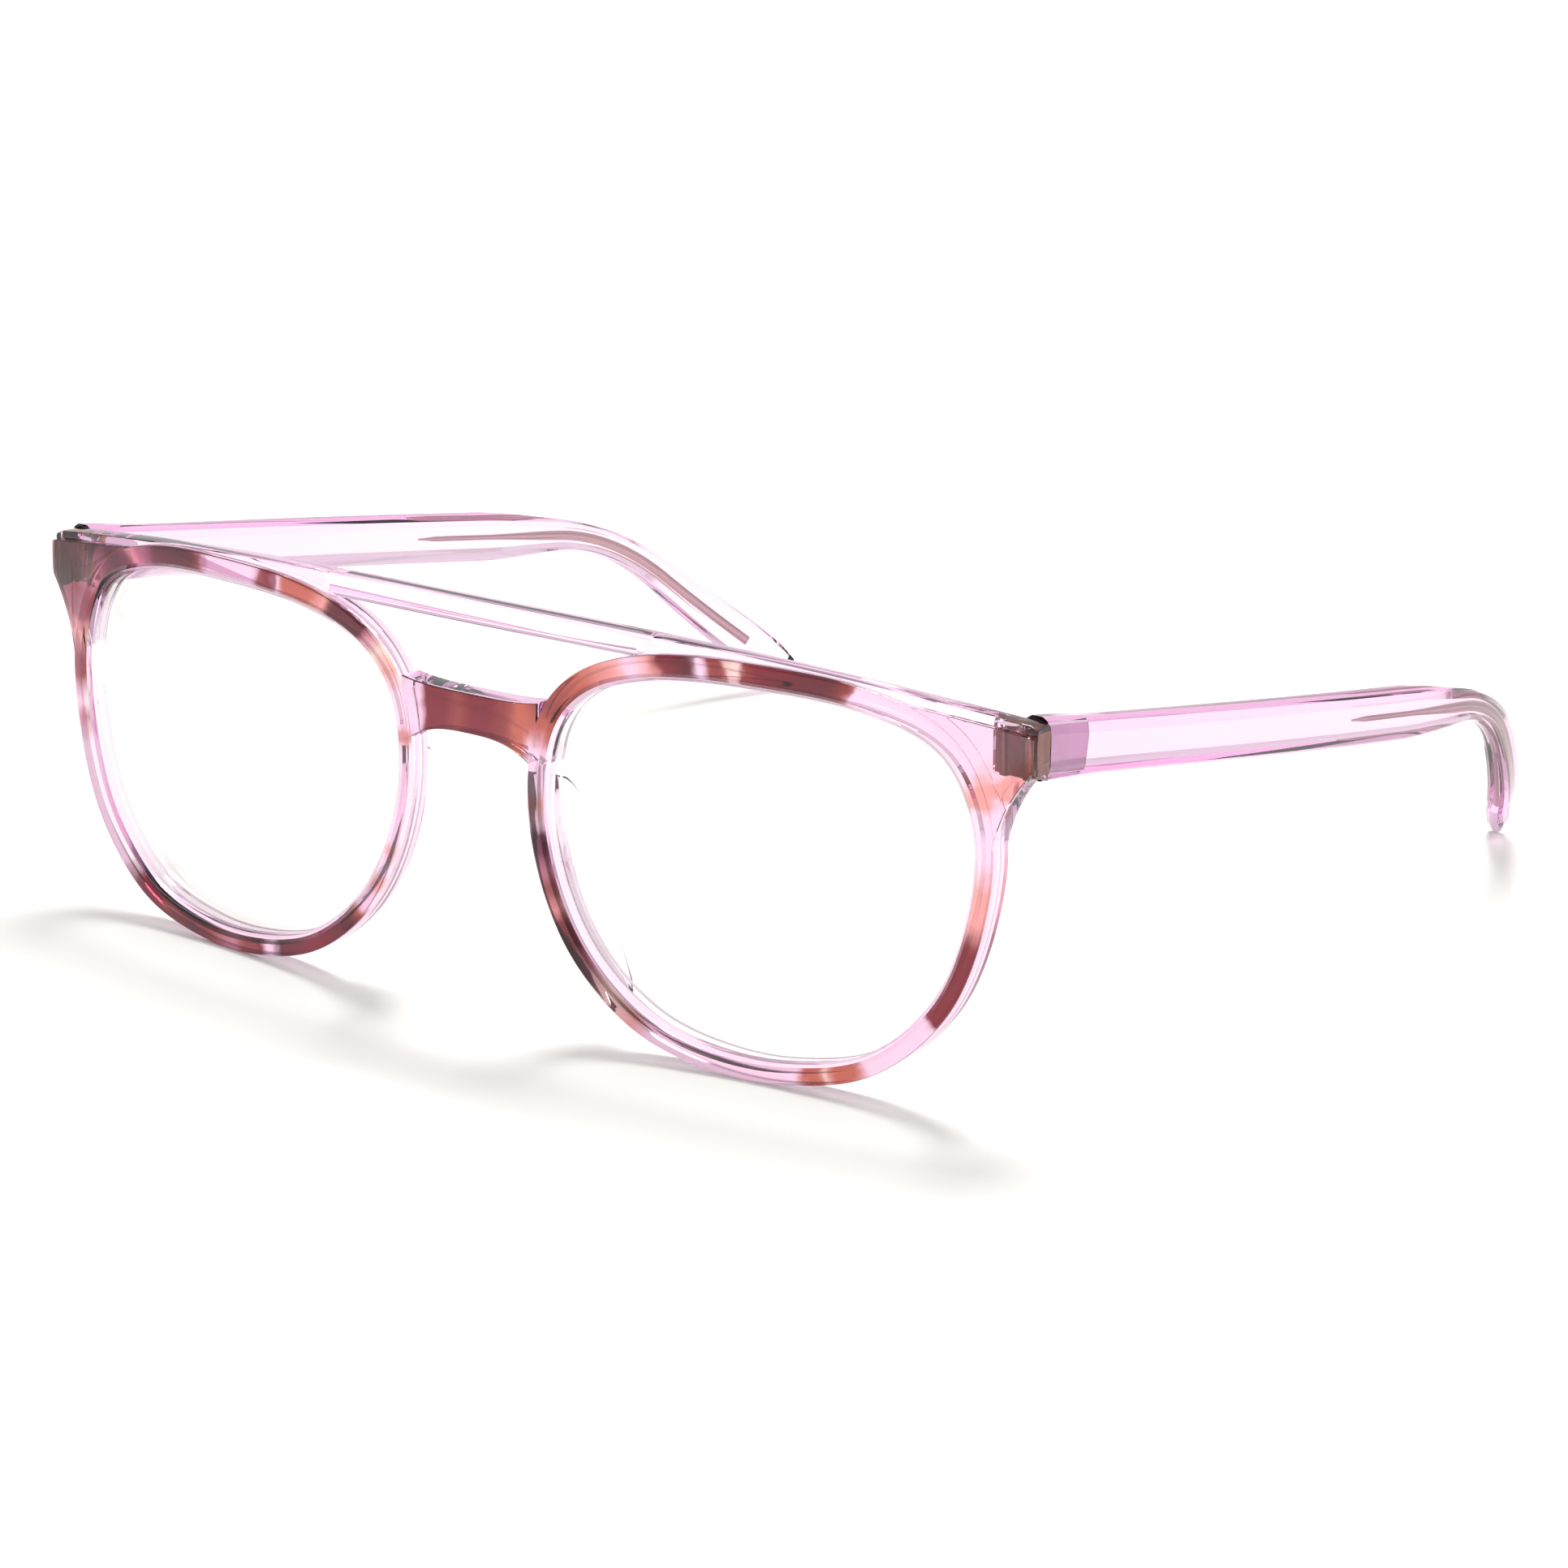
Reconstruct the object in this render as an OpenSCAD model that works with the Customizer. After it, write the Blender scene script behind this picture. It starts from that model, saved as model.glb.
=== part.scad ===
// Full-rim glasses with a double bridge: a two-layer front that wraps round the face, plano
// lenses in grooves, bonded nose pads, and slim temples with a metal core on barrel hinges.
// The glasses stand as on a table: on both rims and both temple tips, with +Z up and the front
// facing -Y. Left and right are the wearer's, so left is +X.

/* [Lens openings] */
// Width of a lens opening at the rim's inner wall
lens_w = 53.6; // [48:0.2:58]
// Height of a lens opening at the rim's inner wall
lens_h = 42.6; // [36:0.2:48]
// Distance across the nose between the two lens openings
bridge_gap = 22.2; // [19:0.2:26]
// Thickness of a lens
lens_t = 1.8; // [1.4:0.1:2]

/* [Front] */
// Depth of the front from its face to its back
front_t = 3.6; // [3.2:0.1:4.4]
// Thickness of the patterned layer on the face
layer_t = 0.5; // [0.4:0.05:0.8]
// Radius in plan that the front wraps round
wrap_r = 330; // [240:5:600]
// Width of a rim from the lens opening to its outer wall
rim_w = 2.5; // [2.2:0.1:3.4]
// Width that the rim gains towards the brow
rim_top_gain = 0.6; // [0.2:0.1:0.8]
// Bevel round the lens opening, on the face
lens_bevel = 1; // [0.7:0.05:1.3]
// Bevel along the outer edges
edge_bevel = 0.35; // [0.2:0.05:0.5]
// Depth of the groove that holds a lens
groove_d = 0.65; // [0.4:0.05:0.8]
// Width of the groove that holds a lens
groove_w = 1.1; // [0.8:0.05:1.3]

/* [Brow and bridge] */
// Height of the brow bar
brow_h = 2.9; // [2.2:0.1:4]
// Height of the gap between the brow bar and the lower bridge
aperture_h = 7.9; // [5:0.1:9]
// Height of the lower bridge
bridge_h = 4.7; // [3.6:0.1:6]
// Height of the brow's middle above the lens openings
brow_rise = 4.5; // [4.2:0.1:5.5]
// Drop of the brow line from the middle to the ends
brow_drop = 4.2; // [3:0.1:5]
// Setback of the brow bar's face behind the face of the rims
brow_setback = 1; // [0.6:0.1:1.3]
// Height of the brow line above the top edge of an end piece's face
brow_step = 1; // [0.6:0.1:1.4]

/* [End pieces and hinges] */
// Distance that an end piece stands out past its lens opening
end_out = 6.8; // [6.2:0.1:8]
// Height of an end piece at its butt joint
end_h = 6.4; // [6:0.1:7.4]
// Height that the underside of an end piece flares through down to the rim
flare_h = 12.3; // [9:0.1:15]
// Radius of the hinge barrel
barrel_r = 1.4; // [1.3:0.05:1.5]
// Height of the hinge barrel, over all three knuckles
barrel_h = 4.8; // [4.2:0.1:5.1]
// Radius of the hinge screw's shank
screw_r = 0.7; // [0.6:0.05:0.8]
// Running clearance of the turning knuckle, round the screw and at each end
knuckle_gap = 0.05; // [0.03:0.01:0.08]
// Length of the hinge plate that lies in the temple
plate_len = 8.4; // [7:0.1:10]
// Thickness of the hinge plate that lies in the temple
plate_t = 1.1; // [0.8:0.1:1.3]

/* [Temples] */
// Length of the straight shaft, from the butt joint to the bend
shaft_len = 96; // [80:1:104]
// Radius of the bend over the ear
bend_r = 38; // [28:1:50]
// Angle that the bend turns through
bend_angle = 32; // [24:1:38]
// Slope of the shaft below level
slope = 9; // [7:0.5:11]
// Height of the shaft at the butt joint
root_h = 7.2; // [6.6:0.1:8]
// Height of the shaft along its straight stretch
shaft_h = 6.5; // [5.5:0.1:7.2]
// Height of the temple where it is slimmest, at the bend
bend_h = 3.7; // [3.2:0.1:5]
// Height of the tip where it is broadest
tip_h = 6; // [5:0.1:7.5]
// Thickness of the temple at the butt joint
root_t = 3.8; // [3.4:0.1:4.2]
// Thickness of the temple at the bend
bend_t = 3; // [2.6:0.1:3.6]
// Distance that the shaft bows outwards
bow_out = 1.4; // [0:0.1:3]
// Distance that the tip curves in towards the head
tip_in = 12.5; // [4:0.5:14]
// Distance from the butt joint to the front end of the core wire
wire_start = 66; // [40:1:76]
// Length of the core wire
wire_len = 68; // [40:1:74]

/* [Nose pads] */
// Depth that a nose pad stands out behind its rim
pad_d = 5; // [3:0.1:7]
// Length of a nose pad along its rim
pad_len = 26; // [20:1:30]

/* [Hidden] */

bond = 0.01;        // glue line between two bonded faces
blend = 0.05;       // depth that the bars of the front stand back from the faces of the rims
layer_bevel = 0.15; // bevel along the edges of the patterned layer's bars
seat = 0.05;        // gap round a lens in its groove
joint_gap = 0.06;   // gap between an end piece and the temple that butts on it
swing_gap = 0.3;    // clearance round the barrel, for what turns past it
steps = 6;          // points in each span of the lens outline

lens_x = (bridge_gap + lens_w) / 2;
lens_z = rim_w + lens_h / 2;
end_x = bridge_gap / 2 + lens_w + end_out;
brow_z = rim_w + lens_h + brow_rise;
bridge_top = brow_z - brow_h - aperture_h;
bridge_low = bridge_top - bridge_h;

// The lens outline, from the brow round by the temple side, in halves of its width and height
lens_shape = [
    [0, 1], [0.5, 0.965], [0.84, 0.8], [0.99, 0.43], [0.975, -0.04], [0.84, -0.52],
    [0.56, -0.87], [0.2, -1], [-0.15, -1], [-0.48, -0.89], [-0.75, -0.63], [-0.92, -0.28],
    [-1, 0.15], [-0.96, 0.57], [-0.78, 0.83], [-0.45, 0.965]
];

function unit(v) = v / norm(v);
function spline(a, b, c, d, t) =
    (2 * b + (c - a) * t + (2 * a - 5 * b + 4 * c - d) * t * t
        + (3 * b - a - 3 * c + d) * t * t * t) / 2;
function closed_spline(p) = [
    for (i = [0:len(p) - 1], k = [0:steps - 1])
        spline(p[(i + len(p) - 1) % len(p)], p[i], p[(i + 1) % len(p)], p[(i + 2) % len(p)],
            k / steps)
];
function clamp01(t) = min(1, max(0, t));
function smooth(t) = let (u = clamp01(t)) u * u * (3 - 2 * u);

// How far the wrapped face lies behind its middle, at a distance x from the middle
function sag(x) = wrap_r - sqrt(wrap_r * wrap_r - x * x);

// The lens outline in the front's plane, fitted to its width and height, and its outward directions
shape = closed_spline(lens_shape);
shape_min = [min([for (p = shape) p.x]), min([for (p = shape) p.y])];
shape_max = [max([for (p = shape) p.x]), max([for (p = shape) p.y])];
outline = [
    for (p = shape) [
        lens_x + lens_w * ((p.x - shape_min.x) / (shape_max.x - shape_min.x) - 0.5),
        lens_z + lens_h * ((p.y - shape_min.y) / (shape_max.y - shape_min.y) - 0.5)
    ]
];
turns = len(outline);
outward = [
    for (i = [0:turns - 1])
        let (d = unit(outline[(i + 1) % turns] - outline[(i + turns - 1) % turns])) [-d.y, d.x]
];
function rim_at(i) = rim_w + rim_top_gain * pow(max(0, (outline[i].y - lens_z) / lens_h * 2), 2);
function beside(i, n) = outline[i] + n * outward[i];
function wrapped(p, y) = [p.x, sag(p.x) + y, p.y];

// A closed ring of equal cross-sections, each a loop of points
module ring(sections) {
    m = len(sections[0]);
    n = len(sections);
    polyhedron(
        points = [for (s = sections, p = s) p],
        faces = [
            for (i = [0:n - 1], k = [0:m - 1])
                let (a = i * m + k, b = i * m + (k + 1) % m, c = (i + 1) % n * m)
                for (f = [[b, a, c + k], [b, c + k, c + (k + 1) % m]]) f
        ],
        convexity = 6
    );
}

// A bar of equal cross-sections with flat ends
module bar(sections) {
    m = len(sections[0]);
    n = len(sections);
    polyhedron(
        points = [for (s = sections, p = s) p],
        faces = concat(
            [[for (k = [m - 1:-1:0]) k], [for (k = [0:m - 1]) (n - 1) * m + k]],
            [
                for (i = [0:n - 2], k = [0:m - 1])
                    let (a = i * m + k, b = i * m + (k + 1) % m)
                    for (f = [[a, b, b + m], [a, b + m, a + m]]) f
            ]
        ),
        convexity = 6
    );
}

// Both sides of the object, the second one mirrored
module both_sides() {
    children();
    mirror([1, 0, 0]) children();
}

// ---- Front ----

// Section of the rim behind the patterned layer, with the groove for the lens
function rim_section(i) =
    let (
        w = rim_at(i),
        face = layer_t + bond,
        slot = (front_t + lens_bevel - groove_w) / 2
    ) [
        wrapped(beside(i, lens_bevel - face), face),
        wrapped(beside(i, 0), lens_bevel),
        wrapped(beside(i, 0), slot),
        wrapped(beside(i, groove_d), slot),
        wrapped(beside(i, groove_d), slot + groove_w),
        wrapped(beside(i, 0), slot + groove_w),
        wrapped(beside(i, 0), front_t - edge_bevel),
        wrapped(beside(i, edge_bevel), front_t),
        wrapped(beside(i, w - edge_bevel), front_t),
        wrapped(beside(i, w), front_t - edge_bevel),
        wrapped(beside(i, w), face)
    ];

// Section of the patterned layer on the rim
function layer_section(i) =
    let (w = rim_at(i)) [
        wrapped(beside(i, lens_bevel), 0),
        wrapped(beside(i, lens_bevel - layer_t), layer_t),
        wrapped(beside(i, w), layer_t),
        wrapped(beside(i, w), edge_bevel),
        wrapped(beside(i, w - edge_bevel), 0)
    ];

// A section across the front at x, from z0 up to z1 and from y0 back to y1, with bevelled edges
function slice(x, z0, z1, y0, y1, bevel) = [
    for (q = [
        [y0, z0 + bevel], [y0 + bevel, z0], [y1 - bevel, z0], [y1, z0 + bevel],
        [y1, z1 - bevel], [y1 - bevel, z1], [y0 + bevel, z1], [y0, z1 - bevel]
    ]) wrapped([x, q[1]], q[0])
];

// Convex stretches between neighbouring sections, joined end to end
module stretches(sections) {
    m = len(sections[0]);
    for (k = [0:len(sections) - 2]) hull()
        polyhedron(concat(sections[k], sections[k + 1]), [[for (i = [0:2 * m - 1]) i]]);
}

function brow_line(x) = brow_z - brow_drop * pow(abs(x) / end_x, 2.4);

// The brow bar runs from one end piece to the other above the rims
module brow_bar() {
    count = 26;
    stretches([
        for (j = [0:count])
            let (
                x = end_x * (2 * j / count - 1),
                top = brow_line(x) - (j % count == 0 ? edge_bevel : 0)
            ) slice(x, brow_line(x) - brow_h * (1 - 0.25 * pow(abs(x) / end_x, 2)), top,
                brow_setback, front_t - blend, edge_bevel)
    ]);
}

// The lower bridge joins the rims over the nose, with an arched underside
function bridge_under(x) = bridge_low - 1.6 * pow(abs(x) / 8, 3);
module bridge(y0, y1, bevel) {
    count = 10;
    reach = bridge_gap / 2 - 1.3;
    stretches([
        for (j = [0:count])
            let (x = reach * (2 * j / count - 1))
            slice(x, bridge_under(x), bridge_top + 0.5 * pow(abs(x) / reach, 4), y0, y1, bevel)
    ]);
}

// An end piece carries the brow line out past the rim and flares down into it
flare_x = bridge_gap / 2 + lens_w + rim_w - 0.25;
end_low = brow_line(end_x) - end_h + 1.6;
function end_under(x) =
    x <= flare_x ? end_low - flare_h
        : end_low - flare_h * (1 - pow((x - flare_x) / (end_x - flare_x), 0.45));
// Its lower edge, as [x, z]: up inside the rim to the rim's widest, then out along the flare
end_stations = concat(
    [for (i = [8:17]) beside(i, 0.6 * rim_w)],
    [
        for (t = [0, 0.06, 0.16, 0.3, 0.5, 0.72, 0.92, 1])
            let (x = flare_x + t * (end_x - flare_x)) [x, end_under(x)]
    ]
);
module end_piece(y0, y1, bevel) {
    stretches([
        for (p = end_stations)
            let (tuck = p.x == end_x ? bevel : 0)
            slice(p.x, p.y + tuck, brow_line(p.x) - brow_step - tuck, y0 + tuck, y1, bevel)
    ]);
}

// Hinge axis and butt joint
butt_y = sag(end_x) + front_t;
hinge_x = end_x - root_t - barrel_r + 0.5;
hinge_y = butt_y + 0.55;
hinge_z = brow_line(end_x) - end_h / 2 - 0.1;
knuckle_h = barrel_h / 3;

// The solid block behind the end piece, whose flat back meets the temple
module end_block() {
    outer = end_x - blend;
    hull() for (x = [hinge_x - barrel_r, outer - edge_bevel, outer])
        let (tuck = x == outer ? edge_bevel : 0)
        translate([x, 0, 0]) rotate([90, 0, 90]) linear_extrude(0.01) polygon([
            [sag(x) + 1.2, hinge_z - end_h / 2 + 0.8 + tuck],
            [butt_y, hinge_z - end_h / 2 + tuck],
            [butt_y, hinge_z + end_h / 2 - tuck],
            [sag(x) + 1.2, hinge_z + end_h / 2 - 0.3 - tuck]
        ]);
}

// Pocket for the embedded hinge, and room for the barrel
block_x = [hinge_x - 0.6, end_x - 0.9];
block_h = barrel_h;
block_y = sag(end_x) + max(layer_t + edge_bevel, brow_setback) + 0.35;
pin_r = 0.45;
function pin_places() = [block_x[0] + 0.9, block_x[1] - 0.6];
module hinge_block(grow) {
    translate([block_x[0] - grow, block_y - grow, hinge_z - block_h / 2 - grow])
        cube([block_x[1] - block_x[0] + 2 * grow, butt_y - block_y + 2 * grow, block_h + 2 * grow]);
    for (x = pin_places()) translate([x, block_y, hinge_z])
        cylinder(r = pin_r + grow, h = block_h + 0.3 + 2 * grow, center = true, $fn = 24);
}
module barrel_room(grow, h) {
    translate([hinge_x, hinge_y, hinge_z])
        cylinder(r = barrel_r + grow, h = h, center = true, $fn = 48);
}

module front_frame() {
    color([0.95, 0.86, 0.93, 0.6]) difference() {
        union() {
            both_sides() {
                ring([for (i = [0:turns - 1]) rim_section(i)]);
                end_piece(layer_t + bond + blend, front_t - 2 * blend, edge_bevel);
                end_block();
            }
            brow_bar();
            bridge(layer_t + bond + blend, front_t - blend, edge_bevel);
        }
        both_sides() {
            hinge_block(0.02);
            barrel_room(swing_gap, barrel_h + 0.6);
        }
    }
}

module front_layer() {
    color([0.62, 0.38, 0.4]) union() {
        both_sides() {
            ring([for (i = [0:turns - 1]) layer_section(i)]);
            end_piece(blend, layer_t - blend, layer_bevel);
        }
        bridge(blend, layer_t - blend, layer_bevel);
    }
}

// A lens follows the wrap, with a tongue round its edge that sits in the groove
slot_y = (front_t + lens_bevel) / 2;
module wrap_band(y0, y1) {
    difference() {
        translate([0, wrap_r + y0, -1]) cylinder(r = wrap_r, h = lens_z * 2 + 2, $fn = 360);
        translate([0, wrap_r + y1, -2]) cylinder(r = wrap_r, h = lens_z * 2 + 4, $fn = 360);
    }
}
module lens_plate(n, t) {
    intersection() {
        wrap_band(slot_y - t / 2, slot_y + t / 2);
        translate([0, 40, 0]) rotate([90, 0, 0]) linear_extrude(80)
            polygon([for (i = [0:turns - 1]) beside(i, n)]);
    }
}
module lens() {
    color([0.93, 0.96, 1, 0.25]) union() {
        lens_plate(-seat, lens_t);
        lens_plate(groove_d - seat, groove_w - 2 * seat);
    }
}

// A nose pad is a curved fin along the back of the nasal rim
pad_top = round(turns * 0.77);
pad_pitch = norm(outline[pad_top] - outline[pad_top - 12]) / 12;
function pad_base(t) =
    let (
        at = pad_top - t * pad_len / pad_pitch,
        i = floor(at),
        f = at - i
    ) [
        outline[i] * (1 - f) + outline[i + 1] * f,
        unit(outward[i] * (1 - f) + outward[i + 1] * f)
    ];
function pad_section(t) =
    let (
        base = pad_base(t),
        swell = pow(sin(180 * pow(t, 0.72)), 0.8),
        d = 0.25 + pad_d * swell,
        thick = 0.5 + 0.7 * swell,
        root = base[0] + base[1] * 1.25,
        tip = base[0] + base[1] * (1.25 - 1.1 * swell),
        back = front_t + bond
    ) [
        wrapped(root - base[1] * thick, back),
        wrapped(root + base[1] * thick, back),
        wrapped((root + tip) / 2 + base[1] * thick * 0.95, back + d * 0.5),
        wrapped(tip + base[1] * thick * 0.7, back + d * 0.86),
        wrapped(tip + base[1] * thick * 0.2, back + d),
        wrapped(tip - base[1] * thick * 0.3, back + d * 0.97),
        wrapped(tip - base[1] * thick * 0.6, back + d * 0.8),
        wrapped((root + tip) / 2 - base[1] * thick * 0.8, back + d * 0.4)
    ];
module nose_pad() {
    color([0.96, 0.95, 0.97, 0.5]) bar([for (k = [24:-1:0]) pad_section(k / 24)]);
}

// ---- Hinges ----

module front_hinge() {
    color("silver") difference() {
        union() {
            hinge_block(0);
            for (s = [-1, 1]) translate([hinge_x, hinge_y, hinge_z + s * knuckle_h]) {
                cylinder(r = barrel_r, h = knuckle_h, center = true, $fn = 48);
                translate([block_x[0] - hinge_x, block_y - hinge_y + 0.4, -knuckle_h / 2])
                    cube([hinge_x + barrel_r * 0.6 - block_x[0], hinge_y - block_y - 0.4, knuckle_h]);
            }
        }
        barrel_room(swing_gap, knuckle_h);
        translate([hinge_x, hinge_y, hinge_z])
            cylinder(r = screw_r + 0.02, h = barrel_h + 2, center = true, $fn = 48);
        translate([hinge_x, hinge_y, hinge_z + barrel_h / 2 - 0.3])
            cylinder(r = screw_r + 0.42, h = 1, $fn = 48);
    }
}

module hinge_screw() {
    color("lightgray") translate([hinge_x, hinge_y, hinge_z]) difference() {
        union() {
            translate([0, 0, -barrel_h / 2]) cylinder(r = screw_r, h = barrel_h, $fn = 48);
            translate([0, 0, barrel_h / 2 - 0.3]) cylinder(r = screw_r + 0.4, h = 0.6, $fn = 48);
        }
        translate([-2, -0.13, barrel_h / 2 + 0.08]) cube([4, 0.26, 1]);
    }
}

plate_h = barrel_h - 0.5;
plate_x = end_x - root_t + 0.15;
module temple_plate(grow, mouth) {
    translate([plate_x - mouth, hinge_y + barrel_r * 0.2, hinge_z]) rotate([-slope, 0, 0])
        translate([0, 0, -plate_h / 2 - grow])
            cube([plate_t + mouth + grow, plate_len + grow, plate_h + 2 * grow]);
}
module temple_hinge() {
    color("silver") difference() {
        union() {
            difference() {
                temple_plate(0, 0);
                barrel_room(swing_gap, barrel_h + 2);
            }
            translate([hinge_x, hinge_y, hinge_z]) {
                cylinder(r = barrel_r, h = knuckle_h - 2 * knuckle_gap, center = true, $fn = 48);
                translate([0, 0, knuckle_gap - knuckle_h / 2])
                    cube([plate_x + plate_t - hinge_x, barrel_r + 0.9, knuckle_h - 2 * knuckle_gap]);
            }
        }
        translate([hinge_x, hinge_y, hinge_z])
            cylinder(r = screw_r + knuckle_gap, h = barrel_h, center = true, $fn = 48);
    }
}

// ---- Temples ----

root = [butt_y + joint_gap, hinge_z + 0.2];
bend_len = bend_r * bend_angle * PI / 180;
end_face_h = tip_h * 0.76;
end_lean = 6;
// The tip is as long as it takes to stand on the table beside the rims
tip_len = (root[1] + side(shaft_len + bend_len)[1] - end_face_h / 2 * cos(end_lean))
    / sin(slope + bend_angle);
total_len = shaft_len + bend_len + tip_len;

// The centre line in the side view at a length s: depth, height and downward angle
function side(s) =
    s <= shaft_len ? [s * cos(slope), -s * sin(slope), slope]
        : s <= shaft_len + bend_len ?
            let (a = slope + (s - shaft_len) / bend_r * 180 / PI, p = side(shaft_len))
            [p[0] + bend_r * (sin(a) - sin(slope)), p[1] - bend_r * (cos(slope) - cos(a)), a]
        : let (p = side(shaft_len + bend_len), r = s - shaft_len - bend_len)
            [p[0] + r * cos(p[2]), p[1] - r * sin(p[2]), p[2]];

// Distance that the centre line stands in from the outer face at the root
function inset(s) =
    root_t / 2 - bow_out * pow(sin(180 * clamp01(s / (shaft_len + bend_len))), 1.5)
        + tip_in * pow(max(0, (s - shaft_len * 0.94) / (total_len - shaft_len * 0.94)), 2);

kink = shaft_len - 16;
waist = shaft_len + bend_len * 0.35;
function height_at(s) =
    s < 14 ? root_h + (shaft_h - root_h) * smooth(s / 14)
        : s < kink ? shaft_h
        : s < waist ? shaft_h + (bend_h - shaft_h) * smooth((s - kink) / (waist - kink))
        : bend_h + (tip_h - bend_h) * smooth((s - waist) / (total_len - 6 - waist));
function thick_at(s) =
    s < waist ? root_t + (bend_t - root_t) * smooth(s / waist)
        : bend_t + 0.5 * smooth((s - waist) / (total_len - waist));

// Cross-section at s: a blade with bevelled edges, scaled by height and thickness
blade = [
    [0.5, -0.25], [0.5, 0.25], [0.36, 0.44], [0.18, 0.5], [-0.18, 0.5], [-0.36, 0.44],
    [-0.5, 0.25], [-0.5, -0.25], [-0.36, -0.44], [-0.18, -0.5], [0.18, -0.5], [0.36, -0.44]
];
function temple_section(s, h, t, lean) =
    let (c = side(s), x = end_x - inset(s))
    [
        for (q = blade)
            [x + q.x * t, root[0] + c[0] + q.y * h * sin(lean), root[1] + c[1] + q.y * h * cos(lean)]
    ];
temple_stations = concat(
    [for (s = [-1.6, 0.4, 5, 10, 14]) s],
    [for (k = [1:10]) 14 + (kink - 14) * k / 10],
    [for (k = [1:26]) kink + (total_len - 7 - kink) * k / 26]
);
module temple_body() {
    bar(concat(
        [for (s = temple_stations) temple_section(s, height_at(s), thick_at(s), side(s)[2])],
        [temple_section(total_len - 3, tip_h * 0.9, bend_t * 1.15, (slope + bend_angle) * 0.6)],
        [temple_section(total_len, end_face_h, bend_t * 0.75, end_lean)]
    ));
}
module temple() {
    color([0.95, 0.84, 0.93, 0.6]) difference() {
        temple_body();
        translate([0, root[0] - 20, 0]) cube([200, 20, 100]);
        barrel_room(swing_gap, barrel_h + 0.8);
        temple_plate(0.02, 1);
        translate([hinge_x - barrel_r, hinge_y - barrel_r, hinge_z - knuckle_h / 2])
            cube([barrel_r + plate_x + plate_t - hinge_x + 0.06, 2 * barrel_r + 0.92, knuckle_h]);
    }
}

// The core wire is pointed in front, slim along the shaft and broader through the bend
function wire_section(s) =
    let (
        c = side(s),
        x = end_x - inset(s),
        nose = smooth((s - wire_start) / 5),
        wide = 0.12 + 0.5 * nose + 0.45 * smooth((s - wire_start - 18) / 16),
        thin = 0.1 + 0.42 * nose
    ) [
        for (k = [0:7])
            [
                x + thin * cos(45 * k + 22.5),
                root[0] + c[0] + wide * sin(45 * k + 22.5) * sin(c[2]),
                root[1] + c[1] + wide * sin(45 * k + 22.5) * cos(c[2])
            ]
    ];
module core_wire() {
    color("rosybrown") bar([for (k = [0:34]) wire_section(wire_start + wire_len * k / 34)]);
}

// The origin is on the table, midway between the front's face and the temple tips
depth = root[0] + side(total_len)[0] + end_face_h / 2 * sin(end_lean);
module placed(mirrored) {
    translate([0, -depth / 2, 0]) mirror([mirrored ? 1 : 0, 0, 0]) children();
}

placed(false) front_frame();
placed(false) front_layer();
placed(false) lens();  // lens_left
placed(true) lens();  // lens_right
placed(false) nose_pad();  // nose_pad_left
placed(true) nose_pad();  // nose_pad_right
placed(false) front_hinge();  // front_hinge_left
placed(true) front_hinge();  // front_hinge_right
placed(false) hinge_screw();  // hinge_screw_left
placed(true) hinge_screw();  // hinge_screw_right
placed(false) temple();  // temple_left
placed(true) temple();  // temple_right
placed(false) temple_hinge();  // temple_hinge_left
placed(true) temple_hinge();  // temple_hinge_right
placed(false) core_wire();  // core_wire_left
placed(true) core_wire();  // core_wire_right
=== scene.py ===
"""Looks for the blue light glasses: a wrapped two-layer front, clear lenses and crystal temples.

Every length in the size classes is in millimetres. Finished meshes are in metres, in the frame of
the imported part: on the table, +Z up, the front facing -Y, the wearer's left at +X.
"""

import logging
import math
from dataclasses import dataclass
from enum import Enum
from typing import Callable, Iterable, Sequence

import bpy
from mathutils import Matrix, Vector


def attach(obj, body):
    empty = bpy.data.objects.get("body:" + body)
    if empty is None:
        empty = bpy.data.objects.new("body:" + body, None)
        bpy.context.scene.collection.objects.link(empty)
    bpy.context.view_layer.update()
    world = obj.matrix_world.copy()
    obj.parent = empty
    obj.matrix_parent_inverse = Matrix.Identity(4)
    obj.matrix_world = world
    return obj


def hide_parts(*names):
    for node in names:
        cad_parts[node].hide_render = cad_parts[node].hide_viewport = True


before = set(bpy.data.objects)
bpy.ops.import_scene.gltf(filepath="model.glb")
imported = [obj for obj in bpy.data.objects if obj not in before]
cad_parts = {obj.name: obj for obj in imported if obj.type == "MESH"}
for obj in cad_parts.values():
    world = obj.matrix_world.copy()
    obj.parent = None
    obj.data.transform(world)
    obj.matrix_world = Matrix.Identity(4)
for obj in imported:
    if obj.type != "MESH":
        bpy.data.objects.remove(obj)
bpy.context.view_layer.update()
LOG = logging.getLogger("glasses")
MM = 0.001
NUDGE = 0.001  # millimetres that keep two end faces out of one plane

Point2 = tuple[float, float]
Point3 = tuple[float, float, float]
Colour = tuple[float, float, float]


class Side(Enum):
    """The wearer's side that a piece is on."""

    LEFT = "left"
    RIGHT = "right"


class Join(Enum):
    """How two closed meshes combine."""

    ADD = "UNION"
    CUT = "DIFFERENCE"


# ---- Sizes ----


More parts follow.
